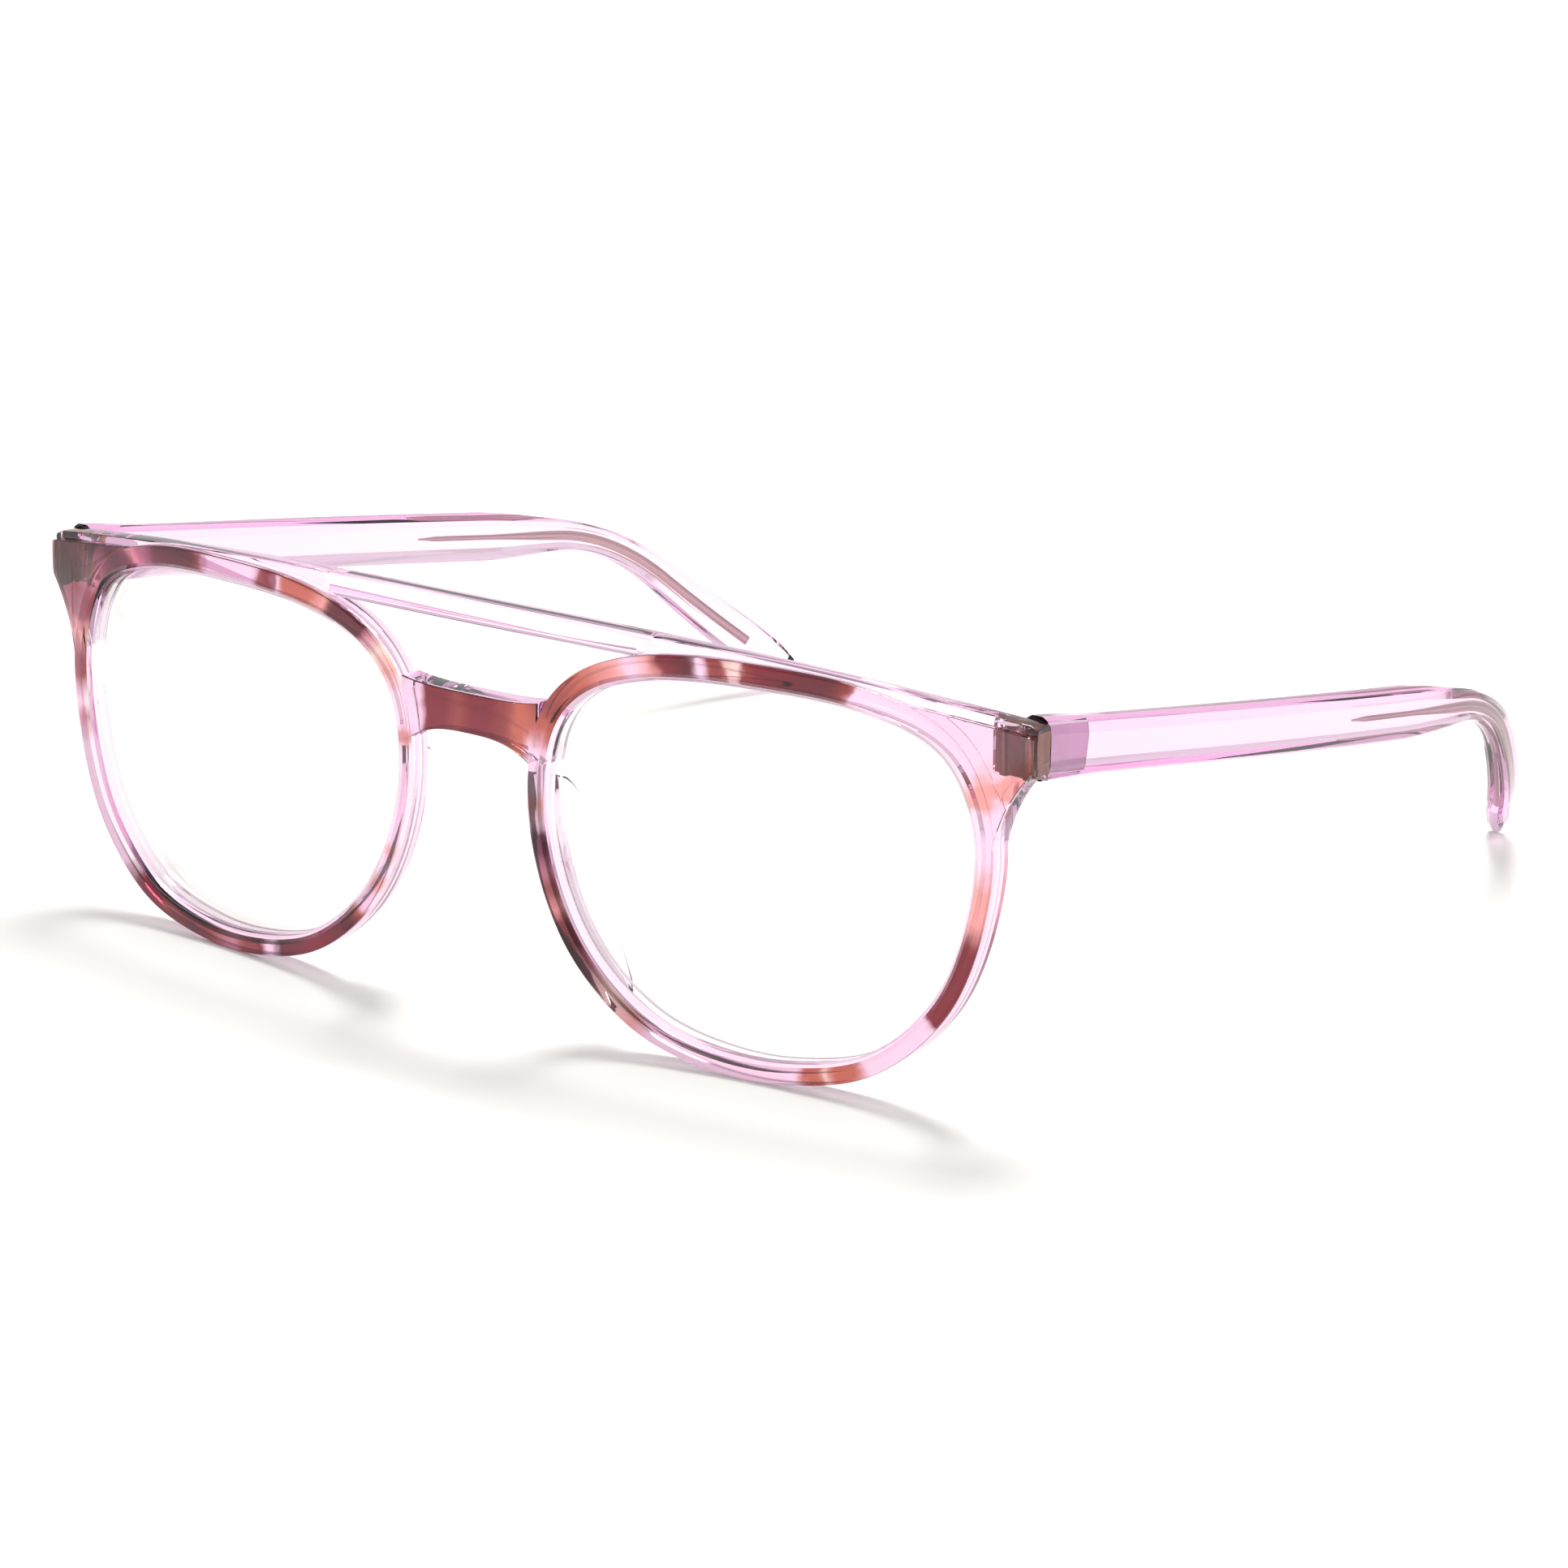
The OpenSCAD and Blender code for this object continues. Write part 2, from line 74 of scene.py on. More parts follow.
@dataclass(frozen=True)
class FrontSize:
    """Sizes of the front, in millimetres."""

    lens_w: float = 53.6
    lens_h: float = 42.6
    bridge_gap: float = 22.2
    depth: float = 3.6
    layer: float = 0.5
    bond: float = 0.01
    wrap_r: float = 330.0
    rim_w: float = 2.5
    rim_top_gain: float = 0.6
    lens_bevel: float = 1.0
    edge: float = 0.35
    groove_d: float = 0.65
    groove_w: float = 1.1
    brow_h: float = 2.9
    aperture_h: float = 7.9
    bridge_h: float = 4.7
    brow_rise: float = 4.5
    brow_drop: float = 4.2
    brow_setback: float = 1.0
    brow_step: float = 1.0
    end_out: float = 6.8
    end_h: float = 6.4
    end_lift: float = 1.6
    flare_h: float = 12.3
    flare_in: float = 0.25
    flare_run: float = 2.4
    bridge_in: float = 1.3
    bridge_dip: float = 1.6
    bridge_lift: float = 0.5
    brow_taper: float = 0.25
    brow_curve: float = 2.4
    blend: float = 0.05
    origin_y: float = 72.0665

    @property
    def lens_x(self) -> float:
        """Returns: the distance from the middle to the centre of a lens."""
        return (self.bridge_gap + self.lens_w) / 2

    @property
    def lens_z(self) -> float:
        """Returns: the height of the centre of a lens."""
        return self.rim_w + self.lens_h / 2

    @property
    def end_x(self) -> float:
        """Returns: half the width of the front."""
        return self.bridge_gap / 2 + self.lens_w + self.end_out

    @property
    def brow_z(self) -> float:
        """Returns: the height of the brow line's middle."""
        return self.rim_w + self.lens_h + self.brow_rise

    def sag(self, x: float) -> float:
        """Returns how far the wrapped face lies back.

        Args:
            x: Distance from the middle.

        Returns:
            The distance behind the middle of the face.
        """
        return self.wrap_r - math.sqrt(self.wrap_r**2 - x * x)

    def brow_line(self, x: float) -> float:
        """Returns the height of the brow.

        Args:
            x: Distance from the middle.

        Returns:
            The height of the top edge there.
        """
        return self.brow_z - self.brow_drop * (abs(x) / self.end_x) ** self.brow_curve

    @property
    def butt_y(self) -> float:
        """Returns: the depth of the flat joint that a temple butts on."""
        return self.sag(self.end_x) + self.depth


@dataclass(frozen=True)
class HingeSize:
    """Sizes of the hinges, in millimetres."""

    barrel_r: float = 1.4
    barrel_h: float = 4.8
    plate_len: float = 8.4
    plate_t: float = 1.1
    swing_gap: float = 0.3
    axis_out: float = 0.5
    axis_back: float = 0.55
    axis_drop: float = 0.1


@dataclass(frozen=True)
class TempleSize:
    """Sizes of a temple, in millimetres and degrees."""

    shaft_len: float = 96.0
    bend_r: float = 38.0
    bend_angle: float = 32.0
    slope: float = 9.0
    root_h: float = 7.2
    shaft_h: float = 6.5
    bend_h: float = 3.7
    tip_h: float = 6.0
    root_t: float = 3.8
    bend_t: float = 3.0
    bow_out: float = 1.4
    tip_in: float = 12.5
    total_len: float = 141.858
    wire_start: float = 66.0
    wire_len: float = 68.0
    root_y: float = 11.4989
    root_z: float = 42.3
    end_lean: float = 6.0
    root_run: float = 14.0
    kink_back: float = 16.0
    end_run: float = 7.0
    tip_swell: float = 0.5

    @property
    def waist(self) -> float:
        """Returns: where the temple is slimmest, along its length."""
        return self.shaft_len + self.bend_len * 0.35

    @property
    def bend_len(self) -> float:
        """Returns: the length of the bend along the temple."""
        return self.bend_r * math.radians(self.bend_angle)


@dataclass(frozen=True)
class PadSize:
    """Sizes of a nose pad, in millimetres."""

    depth: float = 5.0
    length: float = 26.0
    root_out: float = 1.25
    tip_in: float = 1.1
    top: float = 74 / 96


# ---- Curves and meshes ----


def smooth(t: float) -> float:
    """Returns an S-shaped ramp.

    Args:
        t: Place on the ramp, clamped to 0..1.

    Returns:
        A value that starts and ends level.
    """
    u = min(1.0, max(0.0, t))
    return u * u * (3 - 2 * u)


def rounded(loop: Sequence[Point2], corners: Iterable[int], count: int = 4) -> list[Point2]:
    """Turns bevels of a loop into arcs.

    Args:
        loop: Corner points, in order.
        corners: Index of the first point of each bevel; its end is the next point.
        count: Steps in an arc.

    Returns:
        The loop with each bevel swollen out to a quarter round.
    """
    starts = set(corners)
    n = len(loop)
    out: list[Point2] = []
    for i, p in enumerate(loop):
        out.append(p)
        if i not in starts:
            continue
        a, b = loop[i - 1], p
        c, d = loop[(i + 1) % n], loop[(i + 2) % n]
        u = Vector(b) - Vector(a)
        v = Vector(c) - Vector(d)
        cross = u.x * v.y - u.y * v.x
        w = Vector(c) - Vector(b)
        k = (w.x * v.y - w.y * v.x) / cross
        corner = Vector(b) + k * u
        for j in range(1, count):
            t = j / count
            q = (1 - t) ** 2 * Vector(b) + 2 * t * (1 - t) * corner + t * t * Vector(c)
            out.append((q.x, q.y))
    return out


def spline(p: Vector, q: Vector, r: Vector, s: Vector, t: float) -> Vector:
    """Returns a place on the smooth curve from the second of four points to the third.

    Args:
        p: The point before.
        q: Where the curve starts.
        r: Where the curve ends.
        s: The point after.
        t: Place on the curve, 0..1.

    Returns:
        The place.
    """
    return (
        2 * q + (r - p) * t + (2 * p - 5 * q + 4 * r - s) * t * t + (3 * q - p - 3 * r + s) * t**3
    ) / 2


def octagon(y0: float, y1: float, z0: float, z1: float, bevel: float) -> list[Point2]:
    """Makes the section of a bar with rounded edges.

    Args:
        y0: Front of the bar.
        y1: Back of the bar.
        z0: Bottom of the bar.
        z1: Top of the bar.
        bevel: Size of the rounded edges.

    Returns:
        Points as (depth, height), in order.
    """
    b = min(bevel, (z1 - z0) * 0.45)
    corners = [
        (y0, z0 + b), (y0 + b, z0), (y1 - b, z0), (y1, z0 + b),
        (y1, z1 - b), (y1 - b, z1), (y0 + b, z1), (y0, z1 - b),
    ]
    return rounded(corners, (0, 2, 4, 6), 3)


def mesh_from(name: str, verts: Sequence[Point3], faces: Sequence[Sequence[int]]) -> bpy.types.Mesh:
    """Makes a mesh with its normals pointing outwards.

    Args:
        name: Name of the mesh.
        verts: Corner points.
        faces: Corner numbers of each face.

    Returns:
        The mesh.
    """
    mesh = bpy.data.meshes.new(name)
    mesh.from_pydata(verts, [], faces)
    mesh.validate()
    mesh.update()
    return outward_faces(mesh)


def outward_faces(mesh: bpy.types.Mesh) -> bpy.types.Mesh:
    """Turns a closed mesh's faces outwards.

    Args:
        mesh: The mesh.

    Returns:
        The same mesh.
    """
    signed = 0.0
    for face in mesh.polygons:
        ring = [mesh.vertices[i].co for i in face.vertices]
        for a, b in zip(ring[1:-1], ring[2:]):
            signed += ring[0].dot(a.cross(b))
    if signed < 0:
        mesh.flip_normals()
    return mesh


def loft(name: str, sections: Sequence[Sequence[Point3]], closed: bool = False) -> bpy.types.Mesh:
    """Skins equal sections into a closed mesh.

    Args:
        name: Name of the mesh.
        sections: Loops of points, one after another.
        closed: Whether the last section joins the first; otherwise both ends get a cap.

    Returns:
        The mesh.
    """
    m, n = len(sections[0]), len(sections)
    verts = [p for section in sections for p in section]
    faces: list[list[int]] = []
    for i in range(n if closed else n - 1):
        for k in range(m):
            a, b = i * m + k, i * m + (k + 1) % m
            c = (i + 1) % n * m
            faces.append([a, b, c + (k + 1) % m, c + k])
    if not closed:
        faces.append(list(range(m))[::-1])
        faces.append([(n - 1) * m + k for k in range(m)])
    return mesh_from(name, verts, faces)


def box_mesh(low: Point3, high: Point3) -> bpy.types.Mesh:
    """Makes a box.

    Args:
        low: Its lowest corner.
        high: Its highest corner.

    Returns:
        The mesh.
    """
    (x0, y0, z0), (x1, y1, z1) = low, high
    return loft("box", [
        [(x, y0, z0), (x, y1, z0), (x, y1, z1), (x, y0, z1)] for x in (x0, x1)
    ])


def drum_mesh(centre: Point3, radius: float, height: float, sides: int = 64) -> bpy.types.Mesh:
    """Makes an upright cylinder.

    Args:
        centre: Its middle.
        radius: Its radius.
        height: Its full height.
        sides: Number of sides.

    Returns:
        The mesh.
    """
    x, y, z = centre
    return loft("drum", [
        [
            (x + radius * math.cos(math.tau * k / sides), y + radius * math.sin(math.tau * k / sides), h)
            for k in range(sides)
        ]
        for h in (z - height / 2, z + height / 2)
    ])


def linked(name: str, data: bpy.types.ID) -> bpy.types.Object:
    """Adds an object to the scene.

    Args:
        name: Its name.
        data: Its mesh, camera or light.

    Returns:
        The object.
    """
    obj = bpy.data.objects.new(name, data)
    bpy.context.scene.collection.objects.link(obj)
    return obj


def evaluated_mesh(obj: bpy.types.Object, name: str) -> bpy.types.Mesh:
    """Reads an object's mesh with its modifiers applied.

    Args:
        obj: The object.
        name: Name of the new mesh.

    Returns:
        A mesh of its own, free of the modifiers.
    """
    graph = bpy.context.evaluated_depsgraph_get()
    copy = bpy.data.meshes.new_from_object(obj.evaluated_get(graph))
    copy.name = name
    return copy


def combine(base: bpy.types.Mesh, tools: Sequence[bpy.types.Mesh], how: Join) -> bpy.types.Mesh:
    """Joins closed meshes to a base, or cuts them from it.

    Args:
        base: The mesh to start from.
        tools: The meshes to add or cut.
        how: Whether they are added or cut.

    Returns:
        The combined mesh.
    """
    result = base
    for tool in tools:
        first, other = linked("combine_base", result), linked("combine_tool", tool)
        mod = first.modifiers.new("join", "BOOLEAN")
        mod.operation = how.value
        mod.solver = "MANIFOLD"
        mod.object = other
        bpy.context.view_layer.update()
        result = evaluated_mesh(first, base.name)
        for obj in (first, other):
            bpy.data.objects.remove(obj)
    return result


def mirrored(mesh: bpy.types.Mesh) -> bpy.types.Mesh:
    """Copies a mesh to the other side.

    Args:
        mesh: The mesh to copy.

    Returns:
        Its mirror image, with its normals outwards.
    """
    copy = mesh.copy()
    copy.transform(Matrix.Scale(-1, 4, (1, 0, 0)))
    copy.flip_normals()
    return copy


def finished(name: str, mesh: bpy.types.Mesh, origin_y: float, angle: float = 32.0) -> bpy.types.Object:
    """Turns a mesh in millimetres into a piece in the part's frame.

    Args:
        name: Name of the piece.
        mesh: Its mesh, measured from the middle of the front's face.
        origin_y: Distance from that face back to the part's origin.
        angle: Largest angle between faces that still looks smooth, in degrees.

    Returns:
        The piece, linked to the scene.
    """
    mesh.transform(Matrix.Scale(MM, 4) @ Matrix.Translation((0, -origin_y, 0)))
    mesh.name = name
    mesh.shade_smooth()
    mesh.set_sharp_from_angle(angle=math.radians(angle))
    return linked(name, mesh)


# ---- Node helpers ----


@dataclass
class Nodes:
    """A node tree with short ways to add and link nodes."""

    tree: bpy.types.NodeTree

    def put(self, socket: bpy.types.NodeSocket, value: object) -> None:
        """Fills an input.

        Args:
            socket: The input.
            value: A socket to link to it, or a value to set on it.
        """
        if isinstance(value, bpy.types.NodeSocket):
            self.tree.links.new(value, socket)
        else:
            socket.default_value = value

    def add(
        self, kind: str, inputs: dict[str | int, object] | None = None, **props: object
    ) -> bpy.types.Node:
        """Adds a node.

        Args:
            kind: Its identifier.
            inputs: Sockets or values for its inputs, by name or number.
            props: Properties to set on it.

        Returns:
            The node.
        """
        node = self.tree.nodes.new(kind)
        for key, value in props.items():
            setattr(node, key, value)
        for key, value in (inputs or {}).items():
            self.put(node.inputs[key], value)
        return node

    def math(self, operation: str, *values: object) -> bpy.types.NodeSocket:
        """Adds a math node.

        Args:
            operation: Its operation.
            values: Sockets or numbers for its inputs.

        Returns:
            Its output.
        """
        return self.add("ShaderNodeMath", dict(enumerate(values)), operation=operation).outputs[0]

    def mix(self, share: object, first: object, second: object) -> bpy.types.NodeSocket:
        """Mixes two colours.

        Args:
            share: Share of the second.
            first: The first colour.
            second: The second colour.

        Returns:
            The mixed colour.
        """
        return self.add("ShaderNodeMix", {0: share, 6: first, 7: second}, data_type="RGBA").outputs[2]

    def fade(self, value: object, span: Point2, ends: Point2) -> bpy.types.NodeSocket:
        """Eases a value from one number to another.

        Args:
            value: The value.
            span: Where it starts and ends.
            ends: What it gives there.

        Returns:
            The eased value.
        """
        inputs = dict(enumerate((value, *span, *ends)))
        return self.add("ShaderNodeMapRange", inputs, interpolation_type="SMOOTHSTEP").outputs[0]


# ---- Shared shader groups ----


@dataclass(frozen=True)
class Stop:
    """One colour along a pattern: where it is, and what it is."""

    at: float
    colour: Colour


CLEAR: Colour = (0.93, 0.77, 0.85)
ROSE: Colour = (0.57, 0.26, 0.31)
PEACH: Colour = (0.82, 0.43, 0.36)
CREAM: Colour = (0.92, 0.78, 0.64)
ORANGE: Colour = (0.52, 0.155, 0.095)
BROWN: Colour = (0.29, 0.06, 0.05)
MAROON: Colour = (0.21, 0.02, 0.03)
MAUVE: Colour = (0.26, 0.07, 0.095)
PLUM: Colour = (0.19, 0.035, 0.08)
DARK: Colour = (0.11, 0.018, 0.024)

RAMP_LIMIT = 32  # colours that one ramp can hold
BRIDGE_SPAN = 18.0  # width that the bridge's colours run over
BRIDGE_EDGE = (7.6, 9.0)  # where the bridge's colours give way to the rim's
BRIDGE_WANDER = 4.0  # how much more the edges wander on the bridge

# Places run round a rim from its nose side: 0.25 is the bottom, 0.5 the temple side, 0.75 the top.
LEFT_RIM = (
    Stop(0.0, PLUM), Stop(0.012, PLUM), Stop(0.022, ROSE), Stop(0.037, BROWN), Stop(0.05, PEACH),
    Stop(0.062, MAROON), Stop(0.08, MAROON), Stop(0.1, ROSE), Stop(0.12, CREAM), Stop(0.15, PEACH),
    Stop(0.165, CLEAR), Stop(0.298, CLEAR), Stop(0.304, ORANGE), Stop(0.316, ORANGE), Stop(0.322, CREAM),
    Stop(0.33, ORANGE), Stop(0.345, ORANGE), Stop(0.352, CLEAR), Stop(0.41, CLEAR), Stop(0.418, MAROON),
    Stop(0.478, MAROON), Stop(0.492, PEACH), Stop(0.515, PEACH), Stop(0.53, CLEAR), Stop(0.562, CLEAR),
    Stop(0.566, PEACH), Stop(0.575, PEACH), Stop(0.584, CLEAR), Stop(0.668, CLEAR), Stop(0.673, BROWN),
    Stop(0.69, DARK), Stop(0.745, MAROON), Stop(0.758, BROWN), Stop(0.762, CREAM), Stop(0.769, CREAM),
    Stop(0.772, BROWN), Stop(0.787, BROWN), Stop(0.791, CLEAR), Stop(0.798, CLEAR), Stop(0.802, DARK),
    Stop(0.825, MAROON), Stop(0.834, PEACH), Stop(0.85, CLEAR), Stop(0.862, PEACH), Stop(0.885, ORANGE),
    Stop(0.915, BROWN), Stop(0.935, ORANGE), Stop(0.947, CLEAR), Stop(0.97, CLEAR), Stop(0.982, PEACH),
    Stop(0.99, CLEAR), Stop(1.0, PLUM),
)
RIGHT_RIM = (
    Stop(0.0, CLEAR), Stop(0.03, CLEAR), Stop(0.037, PEACH), Stop(0.045, CLEAR), Stop(0.055, CLEAR),
    Stop(0.064, PEACH), Stop(0.075, CLEAR), Stop(0.088, CLEAR), Stop(0.095, ORANGE), Stop(0.107, DARK),
    Stop(0.15, MAROON), Stop(0.192, DARK), Stop(0.2, CLEAR), Stop(0.207, CLEAR), Stop(0.215, MAROON),
    Stop(0.235, BROWN), Stop(0.25, ROSE), Stop(0.272, BROWN), Stop(0.3, DARK), Stop(0.33, BROWN),
    Stop(0.345, MAROON), Stop(0.37, MAROON), Stop(0.385, CLEAR), Stop(0.48, CLEAR), Stop(0.497, ROSE),
    Stop(0.51, CLEAR), Stop(0.522, BROWN), Stop(0.542, MAUVE), Stop(0.553, PEACH), Stop(0.565, MAUVE),
    Stop(0.58, MAROON), Stop(0.6, ROSE), Stop(0.61, MAUVE), Stop(0.622, DARK), Stop(0.636, MAUVE),
    Stop(0.642, PEACH), Stop(0.65, ROSE), Stop(0.665, DARK), Stop(0.705, DARK), Stop(0.715, BROWN),
    Stop(0.722, CLEAR), Stop(0.776, CLEAR), Stop(0.784, BROWN), Stop(0.8, MAROON), Stop(0.804, CLEAR),
    Stop(0.81, ORANGE), Stop(0.835, ORANGE), Stop(0.848, PEACH), Stop(0.857, DARK), Stop(0.883, DARK),
    Stop(0.89, ROSE), Stop(0.9, CREAM), Stop(0.915, PEACH), Stop(0.925, CLEAR), Stop(0.947, CLEAR),
    Stop(0.954, ORANGE), Stop(0.963, CLEAR), Stop(1.0, CLEAR),
)
BRIDGE = (
    Stop(0.0, CLEAR), Stop(0.1, CLEAR), Stop(0.16, MAROON), Stop(0.3, MAROON), Stop(0.42, BROWN),
    Stop(0.52, MAROON), Stop(0.68, MAROON), Stop(0.8, BROWN), Stop(0.9, ORANGE), Stop(1.0, ORANGE),
)


class TortoiseGroup:
    """The pattern of the front layer: patches of colour round each rim and across the bridge."""

    def __init__(self, size: FrontSize) -> None:
        """Builds the group once.

        Args:
            size: Sizes of the front, for the centres of the rims.
        """
        self.size = size
        self.tree = bpy.data.node_groups.new("Tortoise Pattern", "ShaderNodeTree")
        face = self.tree.interface
        face.new_socket("Wander", in_out="INPUT", socket_type="NodeSocketFloat").default_value = 0.02
        face.new_socket("Grain", in_out="INPUT", socket_type="NodeSocketFloat").default_value = 420.0
        face.new_socket("Colour", in_out="OUTPUT", socket_type="NodeSocketColor")
        self._build()

    def _ramp(
        self, kit: Nodes, stops: Sequence[Stop], along: bpy.types.NodeSocket
    ) -> bpy.types.NodeSocket:
        """Adds a colour ramp, or two that meet half-way where one can't hold every colour.

        Args:
            kit: The tree to add it to.
            stops: Its colours.
            along: The place on the ramp.

        Returns:
            The colour.
        """
        if len(stops) > RAMP_LIMIT:
            half = len(stops) // 2
            early = self._ramp(kit, stops[: half + 1], along)
            return kit.mix(
                kit.math("GREATER_THAN", along, stops[half].at), early, self._ramp(kit, stops[half:], along)
            )
        ramp = kit.add("ShaderNodeValToRGB", {0: along})
        ramp.color_ramp.interpolation = "LINEAR"
        items = ramp.color_ramp.elements
        while len(items) < len(stops):
            items.new(0.5)
        for item, stop in zip(items, stops):
            item.position = stop.at
        for item, stop in zip(items, stops):
            item.color = (*stop.colour, 1.0)
        return ramp.outputs[0]

    def _build(self) -> None:
        """Fills the group."""
        kit = Nodes(self.tree)
        enter = kit.add("NodeGroupInput").outputs
        place = kit.add("ShaderNodeTexCoord").outputs["Object"]
        inputs = {"Vector": place, "Scale": enter["Grain"], "Detail": 2.0}
        noise = kit.add("ShaderNodeTexNoise", inputs, noise_dimensions="3D").outputs["Fac"]
        wobble = kit.math("MULTIPLY", kit.math("SUBTRACT", noise, 0.5), enter["Wander"])
        split = kit.add("ShaderNodeSeparateXYZ", {0: place}).outputs
        x, away = split["X"], kit.math("ABSOLUTE", split["X"])
        out = kit.math("SUBTRACT", away, self.size.lens_x * MM)
        up = kit.math("SUBTRACT", split["Z"], self.size.lens_z * MM)
        turn = kit.math("ADD", kit.math("DIVIDE", kit.math("ARCTAN2", up, out), math.tau), 0.5)
        along = kit.math("ADD", turn, wobble)
        across = kit.math("ADD", kit.math("DIVIDE", x, BRIDGE_SPAN * MM), 0.5)
        across = kit.math("ADD", across, kit.math("MULTIPLY", wobble, BRIDGE_WANDER))
        right, left = (self._ramp(kit, stops, along) for stops in (RIGHT_RIM, LEFT_RIM))
        sides = kit.mix(kit.math("GREATER_THAN", x, 0.0), right, left)
        middle = kit.fade(away, (BRIDGE_EDGE[0] * MM, BRIDGE_EDGE[1] * MM), (1.0, 0.0))
        kit.add("NodeGroupOutput", {"Colour": kit.mix(middle, sides, self._ramp(kit, BRIDGE, across))})


class WearGroup:
    """Fine handling marks: a roughness that varies a little over a polished face."""

    def __init__(self) -> None:
        """Builds the group once."""
        self.tree = bpy.data.node_groups.new("Fine Wear", "ShaderNodeTree")
        face = self.tree.interface
        face.new_socket("Base", in_out="INPUT", socket_type="NodeSocketFloat").default_value = 0.02
        face.new_socket("Spread", in_out="INPUT", socket_type="NodeSocketFloat").default_value = 0.02
        face.new_socket("Roughness", in_out="OUTPUT", socket_type="NodeSocketFloat")
        kit = Nodes(self.tree)
        enter = kit.add("NodeGroupInput").outputs
        place = kit.add("ShaderNodeTexCoord").outputs["Object"]
        inputs = {"Vector": place, "Scale": 160.0, "Detail": 3.0}
        noise = kit.add("ShaderNodeTexNoise", inputs, noise_dimensions="3D").outputs["Fac"]
        more = kit.math("MULTIPLY", noise, enter["Spread"])
        kit.add("NodeGroupOutput", {"Roughness": kit.math("ADD", enter["Base"], more)})


# ---- Finishes ----


@dataclass(frozen=True)
class ClearPlastic:
    """A polished clear plastic that takes up colour with depth; painted shade darkens its colour towards the
    silhouette.
    """

    name: str
    surface: Colour
    # edge: colour of the painted edge shade, mixed in towards the silhouette by view angle
    edge: Colour
    absorb: Colour
    density: float
    roughness: float = 0.015
    spread: float = 0.015
    ior: float = 1.49
    edge_shade_power: float = 2.6

    def material(self, wear: WearGroup, pattern: TortoiseGroup | None = None) -> bpy.types.Material:
        """Makes the material.

        Args:
            wear: The shared wear group.
            pattern: The colour pattern, or None for a plain colour.

        Returns:
            The material.
        """
        face: object = (*self.surface, 1)
        inputs = {"Base Color": face, "Transmission Weight": 1.0, "IOR": self.ior}
        mat, kit, shader, leave = new_material(self.name, inputs)
        link_wear(kit, shader, wear, self.roughness, self.spread)
        if pattern:
            face = kit.add("ShaderNodeGroup", node_tree=pattern.tree).outputs["Colour"]
        facing = kit.add("ShaderNodeLayerWeight", {"Blend": 0.5}).outputs["Facing"]
        # Painted edge shade: the base colour darkens towards the silhouette by view angle.
        tint = kit.mix(kit.math("POWER", facing, self.edge_shade_power), face, (*self.edge, 1))
        kit.put(shader.inputs["Base Color"], tint)
        soak = kit.add("ShaderNodeVolumeAbsorption", {"Color": (*self.absorb, 1), "Density": self.density})
        kit.put(leave.inputs["Volume"], soak.outputs[0])
        return mat


@dataclass(frozen=True)
class CoatedLens:
    """A clear lens with an anti-reflection coat, which lets light straight through."""

    name: str = "Coated Lens"
    tint: Colour = (0.985, 0.99, 0.985)
    sheen: float = 0.35

    def material(self) -> bpy.types.Material:
        """Makes the material.

        Returns:
            The material.
        """
        mat, kit, shader, leave = new_material(
            self.name, {"Base Color": (1, 1, 1, 1), "Metallic": 1.0, "Roughness": 0.02}
        )
        through = kit.add("ShaderNodeBsdfTransparent", {0: (*self.tint, 1)}).outputs[0]
        rim = kit.add("ShaderNodeFresnel", {"IOR": 1.5}).outputs[0]
        share = kit.math("MULTIPLY", rim, self.sheen)
        both = kit.add("ShaderNodeMixShader", {0: share, 1: through, 2: shader.outputs[0]})
        kit.put(leave.inputs["Surface"], both.outputs[0])
        return mat


@dataclass(frozen=True)
class Metal:
    """A metal with a soft or bright finish."""

    name: str
    colour: Colour
    roughness: float
    spread: float = 0.08

    def material(self, wear: WearGroup) -> bpy.types.Material:
        """Makes the material.

        Args:
            wear: The shared wear group.

        Returns:
            The material.
        """
        mat, kit, shader, _ = new_material(self.name, {"Base Color": (*self.colour, 1), "Metallic": 1.0})
        link_wear(kit, shader, wear, self.roughness, self.spread)
        return mat


def new_material(
    name: str, inputs: dict[str | int, object]
) -> tuple[bpy.types.Material, Nodes, bpy.types.Node, bpy.types.Node]:
    """Starts a material with a surface shader.

    Args:
        name: Its name.
        inputs: Values for the shader's inputs.

    Returns:
        The material, its nodes, the surface shader and the output node.
    """
    mat = bpy.data.materials.new(name)
    mat.use_nodes = True
    mat.node_tree.nodes.clear()
    kit = Nodes(mat.node_tree)
    shader = kit.add("ShaderNodeBsdfPrincipled", inputs)
    return mat, kit, shader, kit.add("ShaderNodeOutputMaterial", {"Surface": shader.outputs[0]})


def link_wear(kit: Nodes, shader: bpy.types.Node, wear: WearGroup, base: float, spread: float) -> None:
    """Gives a shader the shared wear.

    Args:
        kit: The material's nodes.
        shader: The surface shader.
        wear: The shared group.
        base: Lowest roughness.
        spread: How much the roughness varies.
    """
    group = kit.add("ShaderNodeGroup", node_tree=wear.tree)
    kit.put(group.inputs["Base"], base)
    kit.put(group.inputs["Spread"], spread)
    kit.put(shader.inputs["Roughness"], group.outputs["Roughness"])


@dataclass(frozen=True)
class Backing:
    """The plain pale table."""

    name: str = "Pale Table"
    colour: Colour = (0.93, 0.925, 0.90)

    def material(self) -> bpy.types.Material:
        """Makes the material.

        Returns:
            The material.
        """
        inputs = {"Base Color": (*self.colour, 1), "Roughness": 0.9, "Specular IOR Level": 0.0}
        return new_material(self.name, inputs)[0]


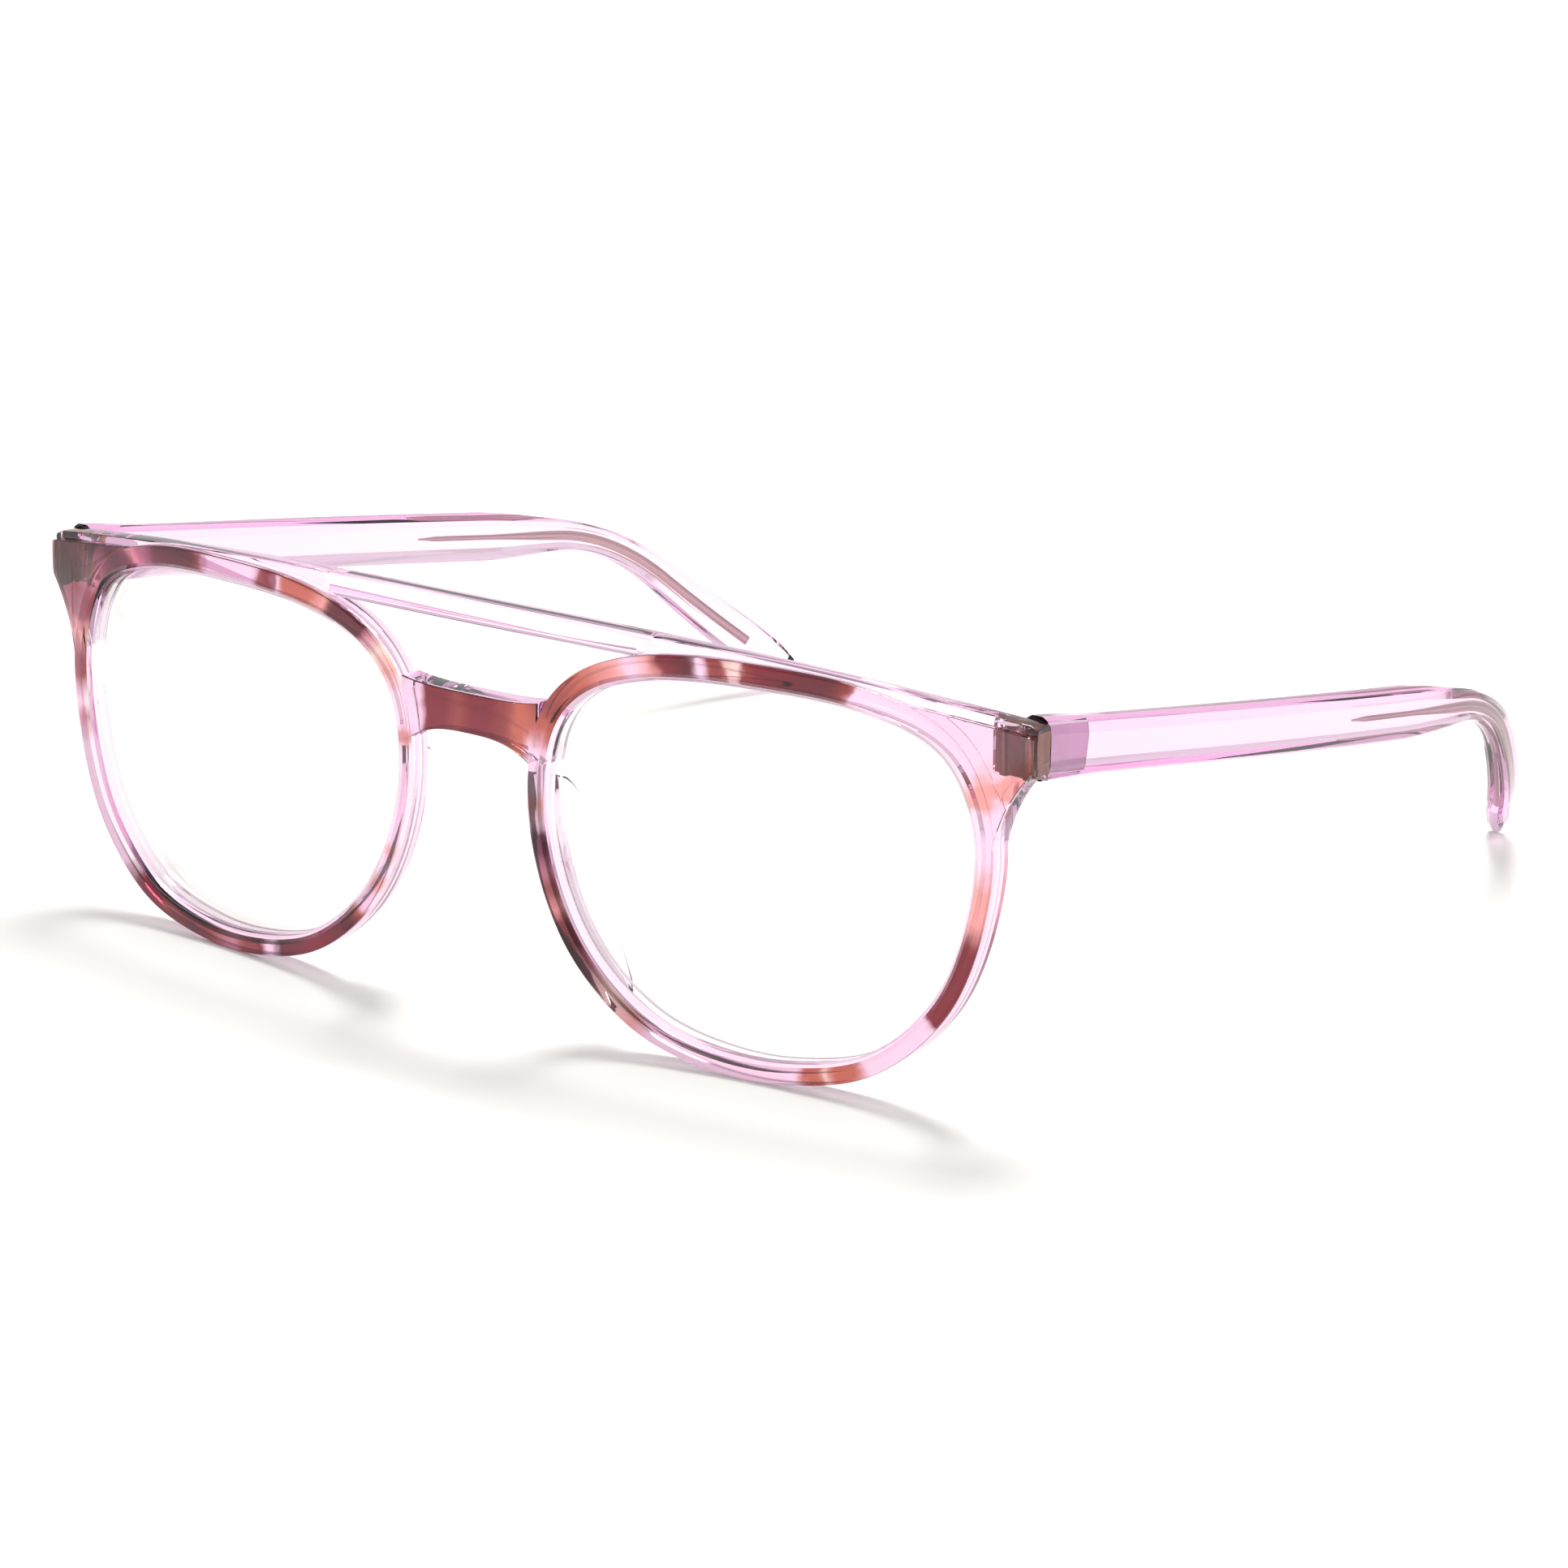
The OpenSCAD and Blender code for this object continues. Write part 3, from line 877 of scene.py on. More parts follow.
class Finishes:
    """Every material that the glasses use."""

    def __init__(self, pattern: TortoiseGroup, wear: WearGroup) -> None:
        """Makes the materials.

        Args:
            pattern: The front layer's pattern.
            wear: The shared wear.
        """
        # The edge colours are painted edge shade, mixed in towards each silhouette by view angle.
        pink, edge = (0.86, 0.45, 0.78), (0.62, 0.25, 0.55)
        self.crystal = ClearPlastic("Crystal Pink", (0.99, 0.93, 0.965), edge, pink, 130.0).material(wear)
        self.layer = ClearPlastic("Tortoise Layer", CLEAR, edge, pink, 20.0).material(wear, pattern)
        self.temple = ClearPlastic("Temple Pink", (0.985, 0.92, 0.965), edge, pink, 130.0).material(wear)
        pad_edge_shade, pad_depth = (0.5, 0.33, 0.5), (0.9, 0.7, 0.88)
        self.pad = ClearPlastic("Clear Pads", (0.985, 0.965, 0.985), pad_edge_shade, pad_depth, 60.0).material(wear)
        self.lens = CoatedLens().material()
        self.front_hinge, self.temple_hinge, self.screw, self.core = (
            Metal(*row).material(wear)
            for row in (
                ("Hinge Leaf", (0.30, 0.13, 0.10), 0.22),
                ("Hinge Plate", (0.62, 0.50, 0.60), 0.22),
                ("Screw Steel", (0.75, 0.74, 0.73), 0.15),
                ("Core Metal", (0.58, 0.44, 0.42), 0.25),
            )
        )


def dress(obj: bpy.types.Object, material: bpy.types.Material) -> None:
    """Gives an object one material.

    Args:
        obj: The object.
        material: The material.
    """
    obj.data.materials.clear()
    obj.data.materials.append(material)


def enter_piece(
    obj: bpy.types.Object, material: bpy.types.Material, body: str, node: str
) -> bpy.types.Object:
    """Dresses a piece and ties it to the part.

    Args:
        obj: The piece.
        material: Its material.
        body: The body that it moves with.
        node: The node that it stands for.

    Returns:
        The piece.
    """
    dress(obj, material)
    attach(obj, body)
    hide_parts(node)
    LOG.info("%s: %d faces", obj.name, len(obj.data.polygons))
    return obj


# ---- Geometry trees ----


class GeometryTree:
    """A geometry tree that reshapes a mesh and ends by setting its material."""

    def __init__(self, name: str, numbers: dict[str, float]) -> None:
        """Starts the tree with its inputs.

        Args:
            name: Name of the tree.
            numbers: Named number inputs and their defaults.
        """
        self.tree = bpy.data.node_groups.new(name, "GeometryNodeTree")
        face = self.tree.interface
        face.new_socket("Geometry", in_out="INPUT", socket_type="NodeSocketGeometry")
        for key, value in numbers.items():
            face.new_socket(key, in_out="INPUT", socket_type="NodeSocketFloat").default_value = value
        face.new_socket("Material", in_out="INPUT", socket_type="NodeSocketMaterial")
        face.new_socket("Geometry", in_out="OUTPUT", socket_type="NodeSocketGeometry")
        self.kit = Nodes(self.tree)
        self.enter = self.kit.add("NodeGroupInput").outputs
        real = self.kit.add("GeometryNodeRealizeInstances", {0: self._shape()}).outputs[0]
        inputs = {"Geometry": real, "Material": self.enter["Material"]}
        self.kit.add("NodeGroupOutput", {0: self.kit.add("GeometryNodeSetMaterial", inputs).outputs[0]})

    def _shape(self) -> bpy.types.NodeSocket:
        """Adds the tree's own nodes.

        Returns:
            The socket with the shaped geometry.
        """
        raise NotImplementedError

    def applied(self, mesh: bpy.types.Mesh, values: dict[str, object]) -> bpy.types.Mesh:
        """Runs the tree on a mesh.

        Args:
            mesh: The mesh to shape.
            values: Input values by name.

        Returns:
            The shaped mesh.
        """
        holder = linked(self.tree.name, mesh)
        mod = holder.modifiers.new("shape", "NODES")
        mod.node_group = self.tree
        sockets = {
            item.name: item.identifier
            for item in self.tree.interface.items_tree
            if item.item_type == "SOCKET" and item.in_out == "INPUT"
        }
        for key, value in values.items():
            mod[sockets[key]] = value
        bpy.context.view_layer.update()
        shaped = evaluated_mesh(holder, mesh.name)
        bpy.data.objects.remove(holder)
        return shaped


class WrapTree(GeometryTree):
    """Bends a flat front back round the face, about an upright axis behind it."""

    def __init__(self) -> None:
        """Builds the tree."""
        super().__init__("Face Wrap", {"Wrap Radius": 330.0})

    def _shape(self) -> bpy.types.NodeSocket:
        """Adds the bend.

        Returns:
            The socket with the bent geometry.
        """
        kit = self.kit
        spot = kit.add("GeometryNodeInputPosition").outputs[0]
        x = kit.add("ShaderNodeSeparateXYZ", {0: spot}).outputs["X"]
        radius = self.enter["Wrap Radius"]
        inner = kit.math("SUBTRACT", kit.math("MULTIPLY", radius, radius), kit.math("MULTIPLY", x, x))
        back = kit.math("SUBTRACT", radius, kit.math("SQRT", inner))
        shift = kit.add("ShaderNodeCombineXYZ", {"Y": back}).outputs[0]
        inputs = {"Geometry": self.enter["Geometry"], "Offset": shift}
        return kit.add("GeometryNodeSetPosition", inputs).outputs[0]


class WireTree(GeometryTree):
    """Sweeps a flattened wire along a path, as broad at each place as the path's points say."""

    def __init__(self) -> None:
        """Builds the tree."""
        super().__init__("Core Wire", {"Sides": 20.0, "Flatness": 0.62})

    def _shape(self) -> bpy.types.NodeSocket:
        """Adds the sweep.

        Returns:
            The socket with the wire.
        """
        kit = self.kit
        path = kit.add("GeometryNodeMeshToCurve", {0: self.enter["Geometry"]}).outputs[0]
        level = kit.add("GeometryNodeSetCurveNormal", {0: path}, mode="Z_UP").outputs[0]
        inputs = {"Resolution": self.enter["Sides"], "Radius": 1.0}
        ring = kit.add("GeometryNodeCurvePrimitiveCircle", inputs).outputs[0]
        flat = kit.add("ShaderNodeCombineXYZ", {"X": self.enter["Flatness"], "Y": 1.0, "Z": 1.0}).outputs[0]
        squash = kit.add("GeometryNodeTransform", {"Geometry": ring, "Scale": flat}).outputs[0]
        broad = kit.add("GeometryNodeInputNamedAttribute", {"Name": "broad"}, data_type="FLOAT").outputs[0]
        inputs = {"Curve": level, "Profile Curve": squash, "Scale": broad, "Fill Caps": True}
        return kit.add("GeometryNodeCurveToMesh", inputs).outputs[0]


# ---- The front ----


class LensOutline:
    """The outline of a lens opening and the way out from it, sampled finely."""

    ANCHORS: tuple[Point2, ...] = (
        (0, 1), (0.5, 0.965), (0.84, 0.8), (0.99, 0.43), (0.975, -0.04), (0.84, -0.52),
        (0.56, -0.87), (0.2, -1), (-0.15, -1), (-0.48, -0.89), (-0.75, -0.63), (-0.92, -0.28),
        (-1, 0.15), (-0.96, 0.57), (-0.78, 0.83), (-0.45, 0.965),
    )

    def __init__(self, size: FrontSize, steps: int) -> None:
        """Samples the outline.

        Args:
            size: Sizes of the front.
            steps: Points in each span between two anchors.
        """
        self.size = size
        a = [Vector(p) for p in self.ANCHORS]
        n = len(a)
        raw: list[Vector] = []
        for i in range(n):
            p, q, r, s = a[i - 1], a[i], a[(i + 1) % n], a[(i + 2) % n]
            raw.extend(spline(p, q, r, s, k / steps) for k in range(steps))
        low = (min(p.x for p in raw), min(p.y for p in raw))
        high = (max(p.x for p in raw), max(p.y for p in raw))
        self.points = [
            Vector((
                size.lens_x + size.lens_w * ((p.x - low[0]) / (high[0] - low[0]) - 0.5),
                size.lens_z + size.lens_h * ((p.y - low[1]) / (high[1] - low[1]) - 0.5),
            ))
            for p in raw
        ]
        self.count = len(self.points)
        self.outward = []
        for i in range(self.count):
            d = (self.points[(i + 1) % self.count] - self.points[i - 1]).normalized()
            self.outward.append(Vector((-d.y, d.x)))

    def beside(self, i: int, n: float) -> Vector:
        """Returns a place beside the outline.

        Args:
            i: Number of the outline's point.
            n: Distance outwards from it.

        Returns:
            The place in the front's plane.
        """
        return self.points[i] + n * self.outward[i]

    def rim_at(self, i: int) -> float:
        """Returns the width of the rim.

        Args:
            i: Number of the outline's point.

        Returns:
            The width there.
        """
        s = self.size
        return s.rim_w + s.rim_top_gain * max(0.0, (self.points[i].y - s.lens_z) / s.lens_h * 2) ** 2

    def sweep(self, name: str, profile: Callable[[float], Sequence[Point2]]) -> bpy.types.Mesh:
        """Carries a profile round the outline, in the flat front's plane.

        Args:
            name: Name of the mesh.
            profile: Gives the profile, as (distance outwards, depth), for a rim width.

        Returns:
            The closed ring.
        """
        sections = []
        for i in range(self.count):
            row = []
            for n, y in profile(self.rim_at(i)):
                p = self.beside(i, n)
                row.append((p.x, y, p.y))
            sections.append(row)
        return loft(name, sections, closed=True)


@dataclass
class Front:
    """The front: a crystal body behind a patterned layer, on every bar and rim."""

    size: FrontSize
    hinge: HingeSize
    wrap: WrapTree
    outline: LensOutline

    STEPS = 18
    BROW_ROWS = 120
    BRIDGE_ROWS = 40
    FLARE_ROWS = 28
    END_SPANS = (8 * STEPS // 6, 17 * STEPS // 6)
    LAYER_BEVEL = 0.15

    def _rim_profile(self, w: float) -> list[Point2]:
        """Returns the rim's profile behind the layer.

        Args:
            w: Width of the rim.

        Returns:
            The profile, as (distance outwards, depth).
        """
        s = self.size
        face = s.layer + s.bond
        slot = (s.depth + s.lens_bevel - s.groove_w) / 2
        loop = [
            (s.lens_bevel - face, face), (0, s.lens_bevel), (0, slot), (s.groove_d, slot),
            (s.groove_d, slot + s.groove_w), (0, slot + s.groove_w), (0, s.depth - s.edge),
            (s.edge, s.depth), (w - s.edge, s.depth), (w, s.depth - s.edge), (w, face),
        ]
        return rounded(loop, (6, 8))

    def _layer_profile(self, w: float) -> list[Point2]:
        """Returns the layer's profile on a rim.

        Args:
            w: Width of the rim.

        Returns:
            The profile, as (distance outwards, depth).
        """
        s = self.size
        loop = [
            (s.lens_bevel, 0), (s.lens_bevel - s.layer, s.layer), (w, s.layer), (w, s.edge), (w - s.edge, 0),
        ]
        return rounded(loop, (3,))

    def _brow(self) -> bpy.types.Mesh:
        """Makes the flat brow bar.

        Returns:
            The mesh.
        """
        s = self.size
        rows = []
        for j in range(self.BROW_ROWS + 1):
            x = s.end_x * (2 * j / self.BROW_ROWS - 1)
            tuck = s.edge if j in (0, self.BROW_ROWS) else 0.0
            x -= math.copysign(NUDGE, x) if tuck else 0.0
            z0 = s.brow_line(x) - s.brow_h * (1 - s.brow_taper * (abs(x) / s.end_x) ** 2)
            ring = octagon(s.brow_setback, s.depth - s.blend, z0, s.brow_line(x) - tuck, s.edge)
            rows.append([(x, y, z) for y, z in ring])
        return loft("brow", rows)

    def _bridge(self, y0: float, y1: float, bevel: float) -> bpy.types.Mesh:
        """Makes the flat lower bridge.

        Args:
            y0: Its front.
            y1: Its back.
            bevel: Size of its rounded edges.

        Returns:
            The mesh.
        """
        s = self.size
        top = s.brow_z - s.brow_h - s.aperture_h
        low = top - s.bridge_h
        reach = s.bridge_gap / 2 - s.bridge_in
        rows = []
        for j in range(self.BRIDGE_ROWS + 1):
            x = reach * (2 * j / self.BRIDGE_ROWS - 1)
            z0 = low - s.bridge_dip * (abs(x) / 8) ** 3
            ring = octagon(y0, y1, z0, top + s.bridge_lift * (abs(x) / reach) ** 4, bevel)
            rows.append([(x, y, z) for y, z in ring])
        return loft("bridge", rows)

    def _end(self, y0: float, y1: float, bevel: float) -> bpy.types.Mesh:
        """Makes a flat end piece, which flares down into the rim.

        Args:
            y0: Its front.
            y1: Its back.
            bevel: Size of its rounded edges.

        Returns:
            The mesh, on the wearer's left.
        """
        s = self.size
        flare_x = s.bridge_gap / 2 + s.lens_w + s.rim_w - s.flare_in
        end_low = s.brow_line(s.end_x) - s.end_h + s.end_lift
        places = [
            tuple(self.outline.beside(i, 0.6 * s.rim_w))
            for i in range(self.END_SPANS[0], self.END_SPANS[1] + 1)
        ]
        for k in range(self.FLARE_ROWS + 1):
            t = (k / self.FLARE_ROWS) ** s.flare_run
            x = flare_x + t * (s.end_x - flare_x)
            places.append((x, end_low - s.flare_h * (1 - t**0.45)))
        rows = []
        for j, (x, z) in enumerate(places):
            tuck = bevel if j == len(places) - 1 else 0.0
            x -= NUDGE if tuck else 0.0
            top = s.brow_line(x) - s.brow_step - tuck
            rows.append([(x, y, h) for y, h in octagon(y0 + tuck, y1, z + tuck, top, bevel)])
        return loft("end", rows)

    def _block(self) -> bpy.types.Mesh:
        """Makes the block behind an end piece, up to the flat joint.

        Returns:
            The mesh, on the wearer's left, already in its wrapped place.
        """
        s, h = self.size, self.hinge
        x0, _, z = hinge_axis(s, h)
        outer = s.end_x - s.blend
        rows = []
        for x, tuck in ((x0 - h.barrel_r, 0.0), (outer - s.edge, 0.0), (outer, s.edge)):
            rows.append([
                (x, s.sag(x) + 1.2, z - s.end_h / 2 + 0.8 + tuck),
                (x, s.butt_y, z - s.end_h / 2 + tuck),
                (x, s.butt_y, z + s.end_h / 2 - tuck),
                (x, s.sag(x) + 1.2, z + s.end_h / 2 - 0.3 - tuck),
            ])
        return loft("block", rows)

    def build(self, finishes: Finishes) -> None:
        """Builds and dresses the two pieces of the front.

        Args:
            finishes: The materials.
        """
        s, h = self.size, self.hinge
        face = s.layer + s.bond + s.blend
        rim = self.outline.sweep("rim", self._rim_profile)
        end = self._end(face, s.depth - 2 * s.blend, s.edge)
        bridge = self._bridge(face, s.depth - s.blend, s.edge)
        flat = combine(rim, [mirrored(rim), self._brow(), bridge, end, mirrored(end)], Join.ADD)
        values = {"Wrap Radius": s.wrap_r, "Material": finishes.crystal}
        body = self.wrap.applied(flat, values)
        block = self._block()
        room = drum_mesh(hinge_axis(s, h), h.barrel_r + h.swing_gap, h.barrel_h + 0.6)
        body = combine(body, [block, mirrored(block)], Join.ADD)
        body = combine(body, [room, mirrored(room)], Join.CUT)
        piece = finished("Front_Body", body, s.origin_y)
        enter_piece(piece, finishes.crystal, "front", "front_frame")

        ring = self.outline.sweep("layer", self._layer_profile)
        span = (s.blend, s.layer - s.blend, self.LAYER_BEVEL)
        cap = self._end(*span)
        skin = combine(ring, [mirrored(ring), self._bridge(*span), cap, mirrored(cap)], Join.ADD)
        values["Material"] = finishes.layer
        piece = finished("Front_Layer", self.wrap.applied(skin, values), s.origin_y)
        enter_piece(piece, finishes.layer, "front", "front_layer")


def hinge_axis(size: FrontSize, hinge: HingeSize) -> Point3:
    """Returns the middle of a hinge.

    Args:
        size: Sizes of the front.
        hinge: Sizes of the hinges.

    Returns:
        The place, on the wearer's left.
    """
    root_t = TempleSize().root_t
    return (
        size.end_x - root_t - hinge.barrel_r + hinge.axis_out,
        size.butt_y + hinge.axis_back,
        size.brow_line(size.end_x) - size.end_h / 2 - hinge.axis_drop,
    )


@dataclass
class NosePad:
    """A nose pad: a curved clear fin along the back of the rim beside the nose."""

    front: FrontSize
    size: PadSize
    outline: LensOutline

    ROWS = 48

    def _section(self, t: float) -> list[Point3]:
        """Returns a section of the pad.

        Args:
            t: Place along the pad, 0 at its top.

        Returns:
            A loop of points.
        """
        o = self.outline
        top = self.size.top * o.count
        span = o.count // 8
        pitch = (o.points[round(top)] - o.points[round(top) - span]).length / span
        at = top - t * self.size.length / pitch
        i, f = int(at), at - int(at)
        base = o.points[i].lerp(o.points[i + 1], f)
        out = o.outward[i].lerp(o.outward[i + 1], f).normalized()
        swell = max(0.0, math.sin(math.pi * t**0.72)) ** 0.8
        d = 0.25 + self.size.depth * swell
        thick = 0.5 + 0.7 * swell
        back = self.front.depth + self.front.bond
        root = base + out * self.size.root_out
        tip = base + out * (self.size.root_out - self.size.tip_in * swell)
        mid = (root + tip) / 2
        hull = [
            (root - out * thick, 0.0), (root + out * thick, 0.0),
            (mid + out * thick * 0.95, 0.5), (tip + out * thick * 0.7, 0.86),
            (tip + out * thick * 0.2, 1.0), (tip - out * thick * 0.3, 0.97),
            (tip - out * thick * 0.6, 0.8), (mid - out * thick * 0.8, 0.4),
        ]
        loop = [(p.x, back + d * y, p.y) for p, y in hull]
        curved = subdivided(loop, 3, fixed=(0, 1))
        return [(x, y + self.front.sag(x), z) for x, y, z in curved]

    def build(self, side: Side, finishes: Finishes) -> None:
        """Builds and dresses one pad.

        Args:
            side: The side that it is on.
            finishes: The materials.
        """
        mesh = loft("pad", [self._section(k / self.ROWS) for k in range(self.ROWS + 1)])
        if side is Side.RIGHT:
            mesh = mirrored(mesh)
        piece = finished(f"Nose_Pad_{side.value}", mesh, self.front.origin_y, 50)
        enter_piece(piece, finishes.pad, "front", f"nose_pad_{side.value}")


def subdivided(loop: Sequence[Point3], count: int, fixed: tuple[int, ...] = ()) -> list[Point3]:
    """Curves a loop through its own points.

    Args:
        loop: The points.
        count: Steps between two neighbours.
        fixed: Numbers of points that stay sharp, where the span after the first one stays straight.

    Returns:
        The finer loop.
    """
    n = len(loop)
    out: list[Point3] = []
    for i in range(n):
        p, q, r, s = (Vector(loop[(i + j) % n]) for j in (-1, 0, 1, 2))
        if i in fixed and (i + 1) % n in fixed:
            out.append(tuple(q))
            continue
        if i in fixed:
            p = q - (r - q) * 0.5
        if (i + 1) % n in fixed:
            s = r + (r - q) * 0.5
        out.extend(tuple(spline(p, q, r, s, k / count)) for k in range(count))
    return out


# ---- Temples ----


@dataclass
class Temple:
    """A slim temple with a metal core wire and a recess for its hinge plate."""

    front: FrontSize
    hinge: HingeSize
    size: TempleSize
    wire: WireTree

    ROWS = 130
    WIRE_ROWS = 90
    BLADE = (
        (0.5, -0.25), (0.5, 0.25), (0.36, 0.44), (0.18, 0.5), (-0.18, 0.5), (-0.36, 0.44),
        (-0.5, 0.25), (-0.5, -0.25), (-0.36, -0.44), (-0.18, -0.5), (0.18, -0.5), (0.36, -0.44),
    )

    def path(self, s: float) -> tuple[float, float, float]:
        """Returns the centre line in the side view.

        Args:
            s: Length along the temple.

        Returns:
            Depth, height and downward angle in degrees.
        """
        z = self.size
        if s <= z.shaft_len:
            a = math.radians(z.slope)
            return s * math.cos(a), -s * math.sin(a), z.slope
        y0, h0, _ = self.path(z.shaft_len)
        a0 = math.radians(z.slope)
        if s <= z.shaft_len + z.bend_len:
            a = a0 + (s - z.shaft_len) / z.bend_r
            return (
                y0 + z.bend_r * (math.sin(a) - math.sin(a0)),
                h0 - z.bend_r * (math.cos(a0) - math.cos(a)),
                math.degrees(a),
            )
        y1, h1, deg = self.path(z.shaft_len + z.bend_len)
        r = s - z.shaft_len - z.bend_len
        a = math.radians(deg)
        return y1 + r * math.cos(a), h1 - r * math.sin(a), deg

    def out_at(self, s: float) -> float:
        """Returns the centre line's distance from the middle.

        Args:
            s: Length along the temple.

        Returns:
            The distance.
        """
        z = self.size
        share = min(1.0, max(0.0, s / (z.shaft_len + z.bend_len)))
        late = max(0.0, (s - z.shaft_len * 0.94) / (z.total_len - z.shaft_len * 0.94))
        inset = z.root_t / 2 - z.bow_out * math.sin(math.pi * share) ** 1.5 + z.tip_in * late**2
        return self.front.end_x - inset

    def height_at(self, s: float) -> float:
        """Returns the temple's height.

        Args:
            s: Length along the temple.

        Returns:
            The height there.
        """
        z = self.size
        kink, waist = z.shaft_len - z.kink_back, z.waist
        if s < z.root_run:
            return z.root_h + (z.shaft_h - z.root_h) * smooth(s / z.root_run)
        if s < kink:
            return z.shaft_h
        if s < waist:
            return z.shaft_h + (z.bend_h - z.shaft_h) * smooth((s - kink) / (waist - kink))
        return z.bend_h + (z.tip_h - z.bend_h) * smooth((s - waist) / (z.total_len - 6 - waist))

    def thick_at(self, s: float) -> float:
        """Returns the temple's thickness.

        Args:
            s: Length along the temple.

        Returns:
            The thickness there.
        """
        z = self.size
        if s < z.waist:
            return z.root_t + (z.bend_t - z.root_t) * smooth(s / z.waist)
        return z.bend_t + z.tip_swell * smooth((s - z.waist) / (z.total_len - z.waist))

    def _section(self, s: float, h: float, t: float, lean: float) -> list[Point3]:
        """Returns a section of the temple.

        Args:
            s: Length along the temple.
            h: Its height.
            t: Its thickness.
            lean: Its lean from upright, in degrees.

        Returns:
            A loop of points.
        """
        z = self.size
        y, up, _ = self.path(s)
        x = self.out_at(s)
        a = math.radians(lean)
        return [
            (x + q[0] * t, z.root_y + y + q[1] * h * math.sin(a), z.root_z + up + q[1] * h * math.cos(a))
            for q in self.BLADE
        ]

    def _body(self) -> bpy.types.Mesh:
        """Makes the plastic of the temple, before its recess is cut.

        Returns:
            The mesh, on the wearer's left.
        """
        z = self.size
        last = z.total_len - z.end_run
        stations = [-1.6] + [0.4 + (last - 0.4) * k / self.ROWS for k in range(self.ROWS + 1)]
        rows = [self._section(s, self.height_at(s), self.thick_at(s), self.path(s)[2]) for s in stations]
        steep = z.slope + z.bend_angle
        ends = (
            (last, self.height_at(last), self.thick_at(last), steep),
            (z.total_len - 3, z.tip_h * 0.9, z.bend_t * 1.15, steep * 0.6),
            (z.total_len, z.tip_h * 0.76, z.bend_t * 0.75, z.end_lean),
        )
        for (s0, h0, t0, a0), (s1, h1, t1, a1) in zip(ends, ends[1:]):
            for k in range(1, 6):
                f = k / 5
                rows.append(self._section(
                    s0 + (s1 - s0) * f, h0 + (h1 - h0) * f, t0 + (t1 - t0) * f, a0 + (a1 - a0) * f
                ))
        return loft("temple", rows)

    def _wire(self, finishes: Finishes) -> bpy.types.Mesh:
        """Makes the core wire, pointed in front and broader through the bend.

        Args:
            finishes: The materials.

        Returns:
            The mesh, on the wearer's left.
        """
        z = self.size
        path = bpy.data.meshes.new("wire_path")
        places, broad = [], []
        for k in range(self.WIRE_ROWS + 1):
            s = z.wire_start + z.wire_len * k / self.WIRE_ROWS
            y, up, _ = self.path(s)
            places.append((self.out_at(s), z.root_y + y, z.root_z + up))
            nose = smooth((s - z.wire_start) / 4)
            broad.append(0.12 + 0.22 * nose + 0.34 * smooth((s - z.wire_start - 14) / 16))
        path.from_pydata(places, [(k, k + 1) for k in range(self.WIRE_ROWS)], [])
        path.attributes.new("broad", "FLOAT", "POINT").data.foreach_set("value", broad)
        mesh = self.wire.applied(path, {"Sides": 20.0, "Flatness": 0.62, "Material": finishes.core})
        return outward_faces(mesh)

    def _recess(self) -> list[bpy.types.Mesh]:
        """Makes what is cut from the temple for its hinge.

        Returns:
            The tools, on the wearer's left.
        """
        s, h, z = self.front, self.hinge, self.size
        axis = hinge_axis(s, h)
        plate_x = s.end_x - z.root_t + 0.15
        plate_h = h.barrel_h - 0.5
        grow, mouth = 0.02, 1.0
        box = box_mesh(
            (-mouth, 0, -plate_h / 2 - grow), (h.plate_t + grow, h.plate_len + grow, plate_h / 2 + grow)
        )
        turn = Matrix.Rotation(math.radians(-z.slope), 4, "X")
        box.transform(Matrix.Translation((plate_x, axis[1] + h.barrel_r * 0.2, axis[2])) @ turn)
        knuckle = h.barrel_h / 3
        arm = box_mesh(
            (axis[0], axis[1], axis[2] - knuckle / 2),
            (plate_x + h.plate_t + 0.02, axis[1] + h.barrel_r + 0.92, axis[2] + knuckle / 2),
        )
        return [
            box_mesh((0, z.root_y - 20, 0), (200, z.root_y, 100)),
            drum_mesh(axis, h.barrel_r + h.swing_gap, h.barrel_h + 0.8),
            box,
            arm,
        ]

    def build(self, side: Side, finishes: Finishes) -> None:
        """Builds and dresses one temple and its core wire.

        Args:
            side: The side that it is on.
            finishes: The materials.
        """
        body = combine(self._body(), self._recess(), Join.CUT)
        wire = self._wire(finishes)
        if side is Side.RIGHT:
            body, wire = mirrored(body), mirrored(wire)
        name = side.value
        piece = finished(f"Temple_{name}", body, self.front.origin_y, 14)
        enter_piece(piece, finishes.temple, f"temple_{name}", f"temple_{name}")
        piece = finished(f"Core_Wire_{name}", wire, self.front.origin_y, 40)
        enter_piece(piece, finishes.core, f"temple_{name}", f"core_wire_{name}")


class Hardware:
    """The lenses, hinges and screws, which keep the part's own solids."""

    def dress(self, finishes: Finishes) -> None:
        """Gives the part's own solids their finishes.

        Args:
            finishes: The materials.
        """
        by_stem = {
            "lens": finishes.lens,
            "front_hinge": finishes.front_hinge,
            "temple_hinge": finishes.temple_hinge,
            "hinge_screw": finishes.screw,
        }
        for side in Side:
            for stem, material in by_stem.items():
                dress(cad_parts[f"{stem}_{side.value}"], material)
                LOG.info("%s_%s dressed", stem, side.value)


# ---- Stage ----


